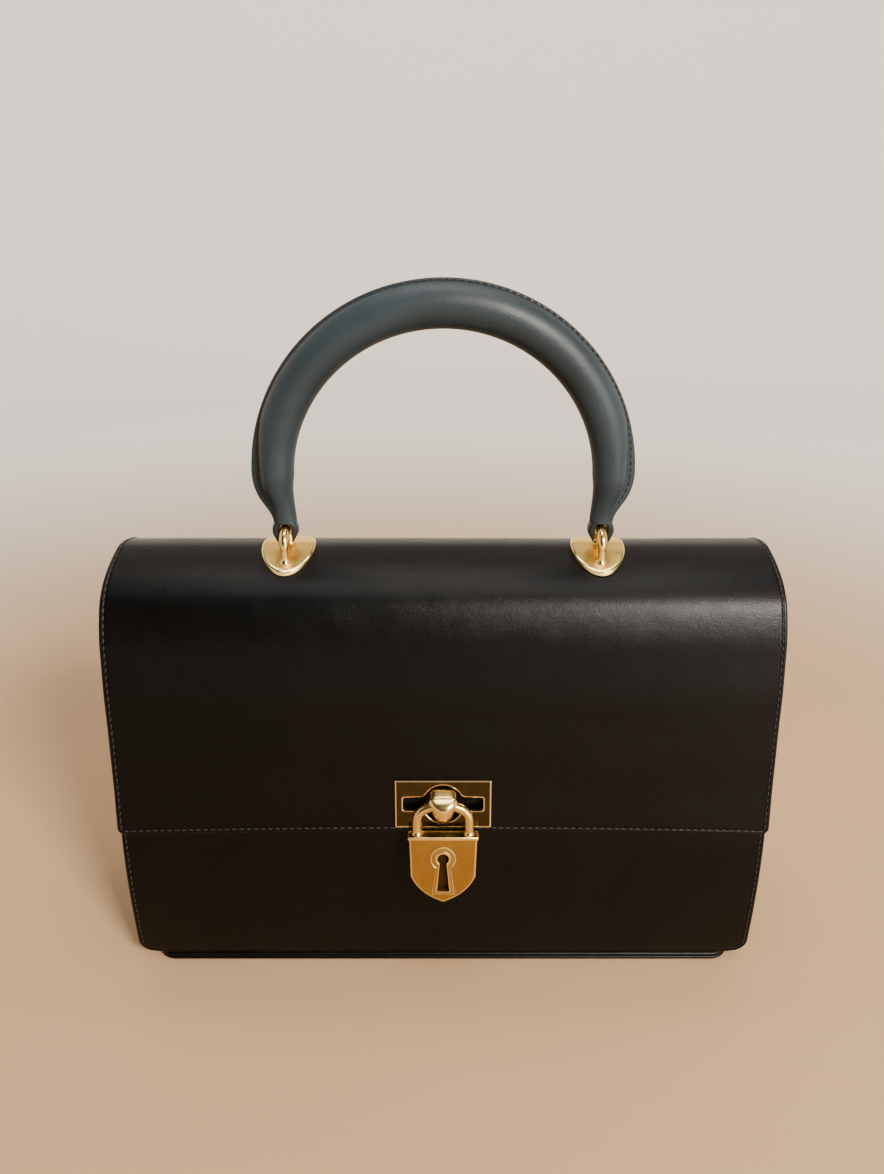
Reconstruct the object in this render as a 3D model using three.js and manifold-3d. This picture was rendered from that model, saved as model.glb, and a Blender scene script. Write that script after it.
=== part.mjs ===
// A structured flap handbag with one stiff top handle, built at real size in millimetres.
// +Z is up, the front faces -Y, and the origin is on the underside, below the ridge of the flap.
// Every wall of the bag is cut from one form line, the girth: it starts at the foot of the front,
// climbs to the ridge and comes down the back. The front panel lies just inside it, the sheet of
// leather that is back, top and flap lies just outside it, and the gusset strip fills it across.

import * as THREE from 'three';
import { mergeVertices } from 'three/addons/utils/BufferGeometryUtils.js';
import Module from 'manifold-3d';

const wasm = await Module();
wasm.setup();

// Bag: outer sizes
const flapWidth = 290;
const panelInset = 0.5;
const panelWidth = flapWidth - 2 * panelInset;
const crestHeight = 195;
const frontReach = 50.4;
const backReach = 44;
const flapEdgeHeight = 75;
const frontTopDrop = 23;
const frontTopHeight = crestHeight - frontTopDrop;
const gussetTopDrop = 17;
const gussetTopHeight = crestHeight - gussetTopDrop;
const panelCornerRadius = 9;
const flapCornerRadius = 3;

// Leather and clearances
const sheetThickness = 2.4;
const panelThickness = 2.2;
const gussetThickness = 1.8;
const seamAllowance = 4;
const seatGap = 0.3;
const runningGap = 0.35;

// Base
const baseThickness = 4.3;
const baseEndInset = 9;
const baseCornerRadius = 24;
const baseFrontInset = 2.1;
const baseFrontReach = frontReach - baseFrontInset;
const baseBackProud = 1;
const baseBackReach = backReach + baseBackProud;

// Handle
const handleSpread = 136;
const handlePlane = -10.5;
const gripBulge = 3.2;
const gripSpringReach = handleSpread / 2 + gripBulge;
const gripRise = 70.3;
const gripSideRadius = 8.15;
const gripTopRadius = 8.85;
const gripTaperLength = 21;
const neckHalfWidth = 5.1;
const neckHalfDepth = 3.7;
const weltThickness = 2;
const weltProud = 1.6;
const tabHalfWidth = 5.7;
const tabDepth = 6.6;
const tabLength = 9.3;
const tabBellyRise = 3.1;
const tabShoulderRadius = 0.8;
const tabCornerRadius = 2.2;
const tabEdgeRadius = 2.4;

// Rings and their plates
const ringRadius = 7.2;
const ringTopWireRadius = 2.2;
const ringFootWireRadius = 1.7;
const ringCentreRise = 3.1;
const ringCentreHeight = crestHeight + ringCentreRise;
const plateThickness = 1.8;
const plateHalfWidth = 11.7;
const plateSetback = 3.8;
const plateCentreY = handlePlane + plateSetback;
const plateFrontLength = 16.5;
const plateRearLength = 11.6;
const plateFrontExponent = 1.9;
const plateRearExponent = 2.8;

// Where the handle's pieces start, one above the other, over the rings
const tabFootRise = 1.6;
const tabFootHeight = ringCentreHeight + tabFootRise;
const tabTopHeight = tabFootHeight + tabLength;
const gripSpringRise = 18;
const gripSpringHeight = tabTopHeight + gripSpringRise;

// Lock
const lockRise = 15.6;
const lockHeight = flapEdgeHeight + lockRise;
const lockPlateWidth = 42.3;
const lockPlateHeight = 22.4;
const lockPlateThickness = 1.5;
const lockPlateCornerRadius = 0.6;
const lockPlateBevel = 0.4;
const slotLength = 35.3;
const slotHeight = 6.3;
const slotBulgeRadius = 8.8;
const slotCornerRadius = 1.2;
const slotLeatherMargin = 0.5;
const knobDrumRadius = 6;
const knobHeadHalfWidth = 6.2;
const knobHeadDrop = 6.6;
const knobHeadFootHalfWidth = 3.3;
const knobHeadShoulder = 0.8;
const knobHeadTopHalfWidth = 4.96;
const knobHeadRise = 4.8;
const knobHeadCornerRadius = 1.4;
const knobHeadDepth = 3;
const knobDome = 2.6;
const knobEyeRaise = 0.6;
const knobEyeClearance = 0.49;
const postRadius = 2.2;
const postWasherRadius = 9;
const postWasherThickness = 1.2;
const postDepthInKnob = 3.4;

// Padlock
const padlockWidth = 29.9;
const padlockShoulderWidth = 28.6;
const padlockShoulderDrop = 19;
const padlockHeight = 31.5;
const padlockBendAcross = 0.74;
const padlockBendDown = 0.7;
const padlockThickness = 6.6;
const padlockBevel = 0.5;
const padlockLipHeight = 1.5;
const padlockLipProud = 0.5;
const shackleWireRadius = 2.1;
const shackleHalfSpread = 11.45;
const shackleArchRise = 8.1;
const shackleLegLength = 5;
const shackleArchExponent = 2.5;
const shackleSink = 5;
const keyholeRadius = 2.5;
const keyholeDrop = 10.4;
const keyholeFootDrop = 25.9;
const keyholeNeckHalfWidth = 1.5;
const keyholeFootHalfWidth = 2.7;
const keyholeDepth = 2.6;
const keyRimWidth = 3.2;
const keyRimFootMargin = 1.6;
const keyRimNeckShare = 0.6;
const keyRimFootShare = 0.8;
const keyRimProud = 0.6;

// Fineness of the facets
const girthSteps = 3;
const cornerSteps = 5;
const gripLegRows = 15;
const gripArchRows = 16;
const gripLengthDivisions = 800;
const gripSteps = 44;
const gripSides = 14;
const wireSides = 12;
const ringSteps = 14;
const shackleArchRows = 24;
const shackleSteps = 22;
const domeSteps = 6;
const roundSides = 28;
const eggSides = 32;
const overshoot = 60;
const weldTolerance = 1e-4;

// The front of the form line, from the floor to the ridge, as shares of its height and of frontReach
const frontForm = [
  { height: 0.000, reach: 0.930 },
  { height: 0.035, reach: 0.960 },
  { height: 0.082, reach: 0.978 },
  { height: 0.164, reach: 0.996 },
  { height: 0.263, reach: 1.000 },
  { height: 0.351, reach: 0.982 },
  { height: 0.420, reach: 0.948 },
  { height: 0.498, reach: 0.901 },
  { height: 0.578, reach: 0.863 },
  { height: 0.656, reach: 0.827 },
  { height: 0.733, reach: 0.798 },
  { height: 0.806, reach: 0.752 },
  { height: 0.858, reach: 0.712 },
  { height: 0.915, reach: 0.622 },
  { height: 0.943, reach: 0.536 },
  { height: 0.965, reach: 0.418 },
  { height: 0.984, reach: 0.252 },
  { height: 0.996, reach: 0.100 },
];

// The back of the form line, from the ridge to the floor, as shares of its height and of backReach
const backForm = [
  { height: 1.000, reach: -0.030 },
  { height: 0.998, reach: 0.130 },
  { height: 0.986, reach: 0.320 },
  { height: 0.962, reach: 0.510 },
  { height: 0.925, reach: 0.660 },
  { height: 0.875, reach: 0.775 },
  { height: 0.800, reach: 0.860 },
  { height: 0.660, reach: 0.925 },
  { height: 0.480, reach: 0.965 },
  { height: 0.280, reach: 0.995 },
  { height: 0.120, reach: 1.000 },
  { height: 0.000, reach: 0.985 },
];

// Materials
const blackLeather = new THREE.MeshStandardMaterial({ color: 0x1b1a1a, roughness: 0.45, metalness: 0 });
const slateLeather = new THREE.MeshStandardMaterial({ color: 0x333b3d, roughness: 0.5, metalness: 0 });
const brass = new THREE.MeshStandardMaterial({ color: 0xb88a3e, roughness: 0.3, metalness: 1 });

// Solids: closed three.js geometry to a solid that can be cut, and back again

function solidOf(geometry) {
  const bare = new THREE.BufferGeometry();
  bare.setAttribute('position', geometry.attributes.position);
  if (geometry.index) bare.setIndex(geometry.index);
  const welded = mergeVertices(bare, weldTolerance);
  const vertProperties = new Float32Array(welded.attributes.position.array);
  const triVerts = new Uint32Array(welded.index.array);
  return new wasm.Manifold(new wasm.Mesh({ numProp: 3, vertProperties, triVerts }));
}

function geometryOf(solid) {
  const mesh = solid.getMesh();
  const geometry = new THREE.BufferGeometry();
  geometry.setAttribute('position', new THREE.BufferAttribute(mesh.vertProperties, 3));
  geometry.setIndex(new THREE.BufferAttribute(mesh.triVerts, 1));
  geometry.computeVertexNormals();
  return geometry;
}

function part(name, geometry, material) {
  const mesh = new THREE.Mesh(geometry, material);
  mesh.name = name;
  return mesh;
}

// Outlines

const point = (x, y) => new THREE.Vector2(x, y);

// A closed outline through the given corners, each rounded by an arc of its own radius r
function roundedOutline(corners) {
  const outline = [];
  corners.forEach((corner, i) => {
    const at = point(corner.x, corner.y);
    if (!corner.r) {
      outline.push(at);
      return;
    }
    const before = corners.at(i - 1);
    const after = corners[(i + 1) % corners.length];
    const toBefore = point(before.x, before.y).sub(at).normalize();
    const toAfter = point(after.x, after.y).sub(at).normalize();
    const half = toBefore.angleTo(toAfter) / 2;
    const middle = toBefore.clone().add(toAfter).normalize();
    const centre = at.clone().addScaledVector(middle, corner.r / Math.sin(half));
    const start = at.clone().addScaledVector(toBefore, corner.r / Math.tan(half)).sub(centre);
    const end = at.clone().addScaledVector(toAfter, corner.r / Math.tan(half)).sub(centre);
    const turn = Math.atan2(start.cross(end), start.dot(end));
    for (let k = 0; k <= cornerSteps; k++) {
      const arm = start.clone().rotateAround(point(0, 0), (turn * k) / cornerSteps);
      outline.push(centre.clone().add(arm));
    }
  });
  return outline;
}

function rectangle(left, right, low, high, lowRadius, highRadius) {
  return roundedOutline([
    { x: left, y: low, r: lowRadius },
    { x: right, y: low, r: lowRadius },
    { x: right, y: high, r: highRadius },
    { x: left, y: high, r: highRadius },
  ]);
}

function circle(radius, sides, x = 0, y = 0) {
  const outline = [];
  for (let k = 0; k < sides; k++) {
    const angle = (2 * Math.PI * k) / sides;
    outline.push(point(x + radius * Math.cos(angle), y + radius * Math.sin(angle)));
  }
  return outline;
}

// Prisms: an outline carried straight along one axis

function prism(outline, depth, holes = []) {
  const shape = new THREE.Shape(outline);
  shape.holes = holes.map((hole) => new THREE.Path(hole));
  return new THREE.ExtrudeGeometry(shape, { depth, bevelEnabled: false });
}

const axisX = new THREE.Vector3(1, 0, 0);
const axisY = new THREE.Vector3(0, 1, 0);
const axisZ = new THREE.Vector3(0, 0, 1);
const outlineToYZ = new THREE.Matrix4().makeBasis(axisY, axisZ, axisX);
const outlineToXZ = new THREE.Matrix4().makeBasis(axisX, axisZ, axisY.clone().negate());

// An outline of (y, z) carried from x = left to x = right
function prismAcross(outline, left, right) {
  return prism(outline, right - left).applyMatrix4(outlineToYZ).translate(left, 0, 0);
}

// An outline of (x, z) carried forwards, from y = rear to y = front
function prismForward(outline, rear, front, holes = []) {
  return prism(outline, rear - front, holes).applyMatrix4(outlineToXZ).translate(0, rear, 0);
}

// An outline of (x, y) carried up from z = low to z = high
function prismUp(outline, low, high) {
  return prism(outline, high - low).translate(0, 0, low);
}

// A section swept along a path: place(t) gives the path's point and the section's two axes there,
// whose lengths scale the section, for t from 0 to 1
function swept(section, steps, place) {
  const geometry = new THREE.ExtrudeGeometry(new THREE.Shape(section), {
    depth: 1,
    steps,
    bevelEnabled: false,
  });
  const position = geometry.attributes.position;
  for (let i = 0; i < position.count; i++) {
    const spot = place(position.getZ(i));
    const moved = spot.at
      .clone()
      .addScaledVector(spot.across, position.getX(i))
      .addScaledVector(spot.up, position.getY(i));
    position.setXYZ(i, moved.x, moved.y, moved.z);
  }
  return geometry;
}

// The girth: the form line in the (y, z) plane, from the foot of the front over the ridge to the back

const formHeight = crestHeight - seatGap - sheetThickness;
const girthRows = [
  ...frontForm.map((row) => point(-frontReach * row.reach, formHeight * row.height)),
  ...backForm.map((row) => point(backReach * row.reach, formHeight * row.height)),
];
const girth = new THREE.SplineCurve(girthRows).getPoints(girthSteps * (girthRows.length - 1));
const ridgeIndex = girthSteps * frontForm.length;

// The girth moved outwards by a distance, or inwards if it is negative
function girthAt(offset) {
  return girth.map((here, i) => {
    const ahead = girth[Math.min(i + 1, girth.length - 1)];
    const behind = girth[Math.max(i - 1, 0)];
    const along = ahead.clone().sub(behind).normalize();
    return here.clone().add(point(-along.y, along.x).multiplyScalar(offset));
  });
}

const frontOf = (line) => line.slice(0, ridgeIndex + 1);
const backOf = (line) => line.slice(ridgeIndex);

// A layer of leather or metal between two offsets of the girth, all the way or along one side of it
function layer(inner, outer, width, side = (line) => line) {
  const outline = [...side(girthAt(inner)), ...side(girthAt(outer)).reverse()].reverse();
  return solidOf(prismAcross(outline, -width / 2, width / 2));
}

// Height of an offset of the girth above the floor at a place y on top of the bag
function topHeightAt(offset, y) {
  const line = girthAt(offset);
  const i = line.findIndex((here) => here.y > formHeight / 2 && here.x > y);
  const share = (y - line[i - 1].x) / (line[i].x - line[i - 1].x);
  return THREE.MathUtils.lerp(line[i - 1].y, line[i].y, share);
}

// Place and lean of the bag's front at a height: y there, and how far it leans back from upright
function frontPlaceAt(height) {
  const i = girth.findIndex((here) => here.y > height);
  const share = (height - girth[i - 1].y) / (girth[i].y - girth[i - 1].y);
  const y = THREE.MathUtils.lerp(girth[i - 1].x, girth[i].x, share);
  const lean = Math.atan2(girth[i + 1].x - girth[i - 2].x, girth[i + 1].y - girth[i - 2].y);
  return { y, lean };
}

const sheetInner = seatGap;
const sheetOuter = seatGap + sheetThickness;
const baseTop = baseThickness + seatGap;

// The lock stands square to the bag's front, in a frame of its own whose -Y points out of the leather
const lockPlace = frontPlaceAt(lockHeight);
const lock = new THREE.Group();
lock.position.set(0, lockPlace.y, lockHeight);
lock.rotation.x = -lockPlace.lean;
lock.updateMatrix();

// Distances out of the form line, along the lock's -Y
const lockPlateBack = sheetOuter + seatGap;
const lockPlateFace = lockPlateBack + lockPlateThickness;
const shacklePlane = lockPlateFace + seatGap + padlockThickness / 2;
const knobBack = seatGap;

// The slot is a long window with a round bulge in the middle, where the knob passes
function slotOutline(margin) {
  const halfLength = slotLength / 2 + margin;
  const halfHeight = slotHeight / 2 + margin;
  const bulge = slotBulgeRadius + margin;
  const corner = slotCornerRadius + margin;
  const mouth = Math.asin(halfHeight / bulge);
  const window = rectangle(-halfLength, halfLength, -halfHeight, halfHeight, corner, corner);
  const half = window.length / 2;
  const arc = (from) => {
    const points = [];
    for (let k = 0; k <= 2 * cornerSteps; k++) {
      const angle = from + ((Math.PI - 2 * mouth) * k) / (2 * cornerSteps) + mouth;
      points.push(point(bulge * Math.cos(angle), bulge * Math.sin(angle)));
    }
    return points;
  };
  const corners = window.slice(cornerSteps + 1, cornerSteps + 1 + half);
  const rest = [...window.slice(cornerSteps + 1 + half), ...window.slice(0, cornerSteps + 1)];
  return [...corners, ...arc(0), ...rest, ...arc(Math.PI)];
}

function cutForLock(solid, outline, rear, front) {
  const cutter = prismForward(outline, rear, front).applyMatrix4(lock.matrix);
  return solid.subtract(solidOf(cutter));
}

// Back, top and flap: one sheet of leather from the foot of the back to the edge of the flap
function makeBackFlap() {
  const half = flapWidth / 2;
  const high = crestHeight + overshoot;
  const flapMask = rectangle(-half, half, flapEdgeHeight, high, flapCornerRadius, 0);
  const backMask = rectangle(-half, half, baseTop, high, panelCornerRadius, 0);
  const mask = solidOf(prismForward(flapMask, seatGap, -frontReach - overshoot)).add(
    solidOf(prismForward(backMask, backReach + overshoot, 0)),
  );
  const sheet = layer(sheetInner, sheetOuter, flapWidth).intersect(mask);
  return cutForLock(sheet, slotOutline(slotLeatherMargin), 0, -lockPlateFace);
}

// Outline of the front panel, seen from the front, drawn in by a margin
function panelOutline(margin, top) {
  const half = panelWidth / 2 - margin;
  return rectangle(-half, half, baseTop, top, panelCornerRadius - margin / 2, 0);
}

function makeFrontPanel() {
  const mask = prismForward(panelOutline(0, frontTopHeight), 0, -frontReach - overshoot);
  const panel = layer(-panelThickness, 0, panelWidth, frontOf).intersect(solidOf(mask));
  const hole = circle(postRadius + runningGap, wireSides);
  return cutForLock(panel, hole, 2 * panelThickness, -panelThickness);
}

// Gusset strip: one strip that is left side, bottom and right side, with its edges turned outwards
function makeGusset() {
  const frontFace = -panelThickness - seatGap;
  const front = -frontReach - overshoot;
  const rear = backReach + overshoot;
  const half = panelWidth / 2 - seamAllowance;
  const corner = panelCornerRadius - seamAllowance / 2;
  const thick = gussetThickness;
  const inside = solidOf(
    prismForward(
      rectangle(-half + thick, half - thick, baseTop + thick, gussetTopHeight + thick, corner, 0),
      rear,
      front,
    ),
  );
  const strip = solidOf(
    prismForward(rectangle(-half, half, baseTop, gussetTopHeight, corner, 0), rear, front),
  ).subtract(inside);
  const outline = [...frontOf(girthAt(frontFace)), ...backOf(girthAt(0))].reverse();
  const room = solidOf(prismAcross(outline, -panelWidth / 2, panelWidth / 2));
  const rim = solidOf(prismForward(panelOutline(0, gussetTopHeight), rear, front)).subtract(inside);
  const frontEdge = layer(frontFace - thick, frontFace, panelWidth, frontOf);
  const backEdge = layer(-thick, 0, panelWidth, backOf);
  return strip.intersect(room).add(rim.intersect(frontEdge.add(backEdge)));
}

function makeBase() {
  const half = flapWidth / 2 - baseEndInset;
  const radius = baseCornerRadius;
  return prismUp(rectangle(-half, half, -baseFrontReach, baseBackReach, radius, radius), 0, baseThickness);
}

// Grip: a padded roll along an arch that springs from two narrow necks, with a sewn welt outside
const neckHeight = tabTopHeight + seatGap;

function gripCentreline() {
  const lean = gripSpringReach - handleSpread / 2;
  const drop = gripSpringHeight - neckHeight;
  const leg = [];
  for (let k = 0; k < gripLegRows; k++) {
    const share = 1 - k / gripLegRows;
    const inward = lean * THREE.MathUtils.smoothstep(share, 0, 1);
    leg.push(new THREE.Vector3(inward - gripSpringReach, 0, gripSpringHeight - drop * share));
  }
  const arch = [];
  for (let k = 0; k <= gripArchRows; k++) {
    const angle = Math.PI * (1 - k / gripArchRows);
    const z = gripSpringHeight + gripRise * Math.sin(angle);
    arch.push(new THREE.Vector3(gripSpringReach * Math.cos(angle), 0, z));
  }
  const otherLeg = leg.map((spot) => new THREE.Vector3(-spot.x, 0, spot.z)).reverse();
  const curve = new THREE.CatmullRomCurve3([...leg, ...arch, ...otherLeg], false, 'centripetal');
  curve.arcLengthDivisions = gripLengthDivisions;
  return curve;
}

// Section of the grip: a round of radius 1 with the welt standing out of it along +x
function gripSection() {
  const halfThickness = weltThickness / 2 / gripSideRadius;
  const tip = 1 + weltProud / gripSideRadius;
  const root = Math.asin(halfThickness);
  const outline = [point(tip, -halfThickness), point(tip, halfThickness)];
  for (let k = 0; k <= gripSides; k++) {
    const angle = root + ((2 * Math.PI - 2 * root) * k) / gripSides;
    outline.push(point(Math.cos(angle), Math.sin(angle)));
  }
  return outline;
}

function makeGrip() {
  const curve = gripCentreline();
  const length = curve.getLength();
  return swept(gripSection(), gripSteps, (t) => {
    const at = curve.getPointAt(t);
    const along = curve.getTangentAt(t);
    const fullness = Math.sin(Math.PI * t) ** 2;
    const full = THREE.MathUtils.lerp(gripSideRadius, gripTopRadius, fullness);
    const fromEnd = Math.min(t, 1 - t) * length;
    const taper = THREE.MathUtils.smoothstep(fromEnd, 0, gripTaperLength);
    const width = THREE.MathUtils.lerp(neckHalfWidth, full, taper);
    const depth = THREE.MathUtils.lerp(neckHalfDepth, full, taper);
    const outward = new THREE.Vector3(-along.z, 0, along.x);
    return { at, across: outward.multiplyScalar(width), up: new THREE.Vector3(0, -depth, 0) };
  }).translate(0, handlePlane, 0);
}

// The half ring stands across the bag: two legs with a half circle over them, in the (y, z) plane
function ringGeometry(x, wireExtra, frontFoot, rearFoot, steps) {
  const frontLeg = ringCentreHeight - frontFoot;
  const rearLeg = ringCentreHeight - rearFoot;
  const arch = Math.PI * ringRadius;
  const length = frontLeg + arch + rearLeg;
  return swept(circle(1, wireSides), steps, (t) => {
    const run = t * length;
    const angle = THREE.MathUtils.clamp((run - frontLeg) / ringRadius, 0, Math.PI);
    const rise = Math.max(frontLeg - run, 0) + Math.max(run - frontLeg - arch, 0);
    const y = handlePlane - ringRadius * Math.cos(angle);
    const z = ringCentreHeight + ringRadius * Math.sin(angle) - rise;
    const fullness = Math.sin(angle) ** 0.5;
    const wire = THREE.MathUtils.lerp(ringFootWireRadius, ringTopWireRadius, fullness) + wireExtra;
    return {
      at: new THREE.Vector3(x, y, z),
      across: new THREE.Vector3(-wire, 0, 0),
      up: new THREE.Vector3(0, -wire * Math.cos(angle), wire * Math.sin(angle)),
    };
  });
}

// Tab: a thick leather loop that takes the ring's wire through it and carries the grip's neck
function makeTab(x) {
  const tab = roundedOutline([
    { x: x - neckHalfWidth, y: tabTopHeight, r: tabShoulderRadius },
    { x: x - tabHalfWidth, y: tabFootHeight + tabBellyRise, r: tabCornerRadius },
    { x: x - tabHalfWidth / 2, y: tabFootHeight, r: tabCornerRadius / 2 },
    { x: x + tabHalfWidth / 2, y: tabFootHeight, r: tabCornerRadius / 2 },
    { x: x + tabHalfWidth, y: tabFootHeight + tabBellyRise, r: tabCornerRadius },
    { x: x + neckHalfWidth, y: tabTopHeight, r: tabShoulderRadius },
  ]);
  const rear = handlePlane + tabDepth / 2;
  const front = handlePlane - tabDepth / 2;
  const edges = rectangle(front, rear, tabFootHeight, tabTopHeight, tabEdgeRadius, 0);
  const block = solidOf(prismForward(tab, rear, front)).intersect(
    solidOf(prismAcross(edges, x - 2 * tabHalfWidth, x + 2 * tabHalfWidth)),
  );
  const foot = ringCentreHeight - ringRadius;
  return block.subtract(solidOf(ringGeometry(x, runningGap, foot, foot, ringSteps)));
}

// Plate seen from above: an egg with its narrow end to the front and a squarer rear end
function plateOutline(x) {
  const outline = [];
  for (let k = 0; k < eggSides; k++) {
    const angle = (2 * Math.PI * k) / eggSides;
    const rear = Math.sin(angle) > 0;
    const length = rear ? plateRearLength : plateFrontLength;
    const exponent = 2 / (rear ? plateRearExponent : plateFrontExponent);
    const across = Math.sign(Math.cos(angle)) * Math.abs(Math.cos(angle)) ** exponent;
    const along = Math.sign(Math.sin(angle)) * Math.abs(Math.sin(angle)) ** exponent;
    outline.push(point(x + plateHalfWidth * across, plateCentreY + length * along));
  }
  return outline;
}

function makeRingPlate(x) {
  const under = sheetOuter + seatGap;
  const plate = layer(under, under + plateThickness, flapWidth).intersect(
    solidOf(prismUp(plateOutline(x), crestHeight / 2, crestHeight + overshoot)),
  );
  const middle = under + plateThickness / 2;
  const frontFoot = topHeightAt(middle, handlePlane - ringRadius);
  const rearFoot = topHeightAt(middle, handlePlane + ringRadius);
  return plate.add(solidOf(ringGeometry(x, 0, frontFoot, rearFoot, ringSteps)));
}

// Lock plate: a flat plate with bevelled edges and the slot through it
function makeLockPlate() {
  const bevel = lockPlateBevel;
  const half = lockPlateWidth / 2;
  const halfHeight = lockPlateHeight / 2;
  const low = solidOf(
    prismForward(
      rectangle(-half, half, -halfHeight, halfHeight, lockPlateCornerRadius, lockPlateCornerRadius),
      -lockPlateBack,
      bevel - lockPlateFace,
    ),
  );
  const high = solidOf(
    prismForward(
      rectangle(bevel - half, half - bevel, bevel - halfHeight, halfHeight - bevel, 0, 0),
      -lockPlateBack,
      -lockPlateFace,
    ),
  );
  const slot = solidOf(prismForward(slotOutline(0), 0, -2 * lockPlateFace));
  return low.add(high).subtract(slot);
}

// A round solid about the lock's axis: a profile of radius against distance out of the leather
function turned(profile, sides) {
  const lathe = new THREE.LatheGeometry(profile, sides);
  return lathe.rotateX(Math.PI);
}

const drumFront = shacklePlane + shackleWireRadius;
const knobHeadFront = drumFront + knobHeadDepth;

// Drop of the shackle's wire between the middle of its arch and the knob's side
const archShare = (knobHeadHalfWidth / shackleHalfSpread) ** shackleArchExponent;
const wireDrop = shackleArchRise * (1 - (1 - archShare) ** (1 / shackleArchExponent));
const eyeRadius = shackleWireRadius + wireDrop / 2 + knobEyeClearance;

// Knob: a drum through the slot with a shield-shaped, domed head, and an eye across it for the shackle
function makeKnob() {
  const drum = solidOf(
    turned(
      [
        point(0, knobBack),
        point(knobDrumRadius, knobBack),
        point(knobDrumRadius, drumFront),
        point(0, drumFront),
      ],
      roundSides,
    ),
  );
  const headRadius = Math.hypot(knobHeadHalfWidth, knobHeadShoulder) + knobHeadCornerRadius;
  const domeProfile = [point(0, shacklePlane), point(headRadius, shacklePlane)];
  for (let k = 0; k <= domeSteps; k++) {
    const angle = (Math.PI / 2) * (k / domeSteps);
    const out = knobHeadFront - knobDome + knobDome * Math.sin(angle);
    domeProfile.push(point(k === domeSteps ? 0 : headRadius * Math.cos(angle), out));
  }
  const shield = roundedOutline([
    { x: -knobHeadFootHalfWidth, y: -knobHeadDrop, r: knobHeadCornerRadius },
    { x: knobHeadFootHalfWidth, y: -knobHeadDrop, r: knobHeadCornerRadius },
    { x: knobHeadHalfWidth, y: -knobHeadShoulder, r: knobHeadCornerRadius },
    { x: knobHeadTopHalfWidth, y: knobHeadRise, r: knobHeadCornerRadius },
    { x: -knobHeadTopHalfWidth, y: knobHeadRise, r: knobHeadCornerRadius },
    { x: -knobHeadHalfWidth, y: -knobHeadShoulder, r: knobHeadCornerRadius },
  ]);
  const head = solidOf(turned(domeProfile, roundSides)).intersect(
    solidOf(prismForward(shield, 0, -2 * knobHeadFront)),
  );
  const eye = solidOf(
    prismAcross(
      circle(eyeRadius, roundSides, -shacklePlane, knobEyeRaise),
      -2 * knobHeadHalfWidth,
      2 * knobHeadHalfWidth,
    ),
  );
  const socket = solidOf(
    prismForward(circle(postRadius + runningGap, wireSides), 0, -knobBack - postDepthInKnob - seatGap),
  );
  return drum.add(head).subtract(eye).subtract(socket);
}

// Post: a washer inside the bag with a pin through the front panel into the knob
function makePost() {
  const washerBack = panelThickness + seatGap + postWasherThickness;
  return turned(
    [
      point(0, -washerBack),
      point(postWasherRadius, -washerBack),
      point(postWasherRadius, -panelThickness - seatGap),
      point(postRadius, -panelThickness - seatGap),
      point(postRadius, knobBack + postDepthInKnob),
      point(0, knobBack + postDepthInKnob),
    ],
    wireSides,
  );
}

// Padlock: its own frame hangs from the shackle's wire, where it rests in the eye of the knob
const archTop = wireDrop;
const padlockTop = archTop - shackleArchRise - shackleLegLength;

function makeShackle() {
  const arch = [];
  for (let k = 0; k <= shackleArchRows; k++) {
    const angle = Math.PI * (1 - k / shackleArchRows);
    const exponent = 2 / shackleArchExponent;
    const across = Math.sign(Math.cos(angle)) * Math.abs(Math.cos(angle)) ** exponent;
    const rise = Math.abs(Math.sin(angle)) ** exponent;
    arch.push(
      new THREE.Vector3(
        shackleHalfSpread * across,
        0,
        archTop - shackleArchRise * (1 - rise),
      ),
    );
  }
  const foot = padlockTop - shackleSink;
  const left = new THREE.Vector3(-shackleHalfSpread, 0, foot);
  const right = new THREE.Vector3(shackleHalfSpread, 0, foot);
  const curve = new THREE.CatmullRomCurve3([left, ...arch, right], false, 'centripetal');
  return swept(circle(shackleWireRadius, wireSides), shackleSteps, (t) => {
    const along = curve.getTangentAt(t);
    const outward = new THREE.Vector3(-along.z, 0, along.x);
    return { at: curve.getPointAt(t), across: outward, up: new THREE.Vector3(0, -1, 0) };
  });
}

// Shield outline of the padlock's body, drawn in by a margin
function padlockOutline(margin) {
  const top = padlockTop - margin;
  const half = padlockWidth / 2 - margin;
  const shoulder = padlockShoulderWidth / 2 - margin;
  const shoulderHeight = padlockTop - padlockShoulderDrop;
  const tip = padlockTop - padlockHeight + margin;
  const bend = point(
    shoulder * padlockBendAcross,
    THREE.MathUtils.lerp(shoulderHeight, tip, padlockBendDown),
  );
  const side = new THREE.QuadraticBezierCurve(point(0, tip), bend, point(shoulder, shoulderHeight));
  const right = side.getPoints(cornerSteps);
  const left = right.slice(1).map((spot) => point(-spot.x, spot.y));
  return [point(half, top), point(-half, top), ...left.reverse(), ...right];
}

// Outline of the keyhole, or of its rim when a margin is given: a round with a flared foot
function keyholeOutline(margin, footMargin) {
  const centre = padlockTop - keyholeDrop;
  const radius = keyholeRadius + margin;
  const neck = Math.asin((keyholeNeckHalfWidth + margin * keyRimNeckShare) / radius);
  const foot = padlockTop - keyholeFootDrop - footMargin;
  const footHalf = keyholeFootHalfWidth + margin * keyRimFootShare;
  const outline = [point(-footHalf, foot), point(footHalf, foot)];
  for (let k = 0; k <= roundSides; k++) {
    const angle = neck - Math.PI / 2 + ((2 * Math.PI - 2 * neck) * k) / roundSides;
    outline.push(point(radius * Math.cos(angle), centre + radius * Math.sin(angle)));
  }
  return outline;
}

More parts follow.
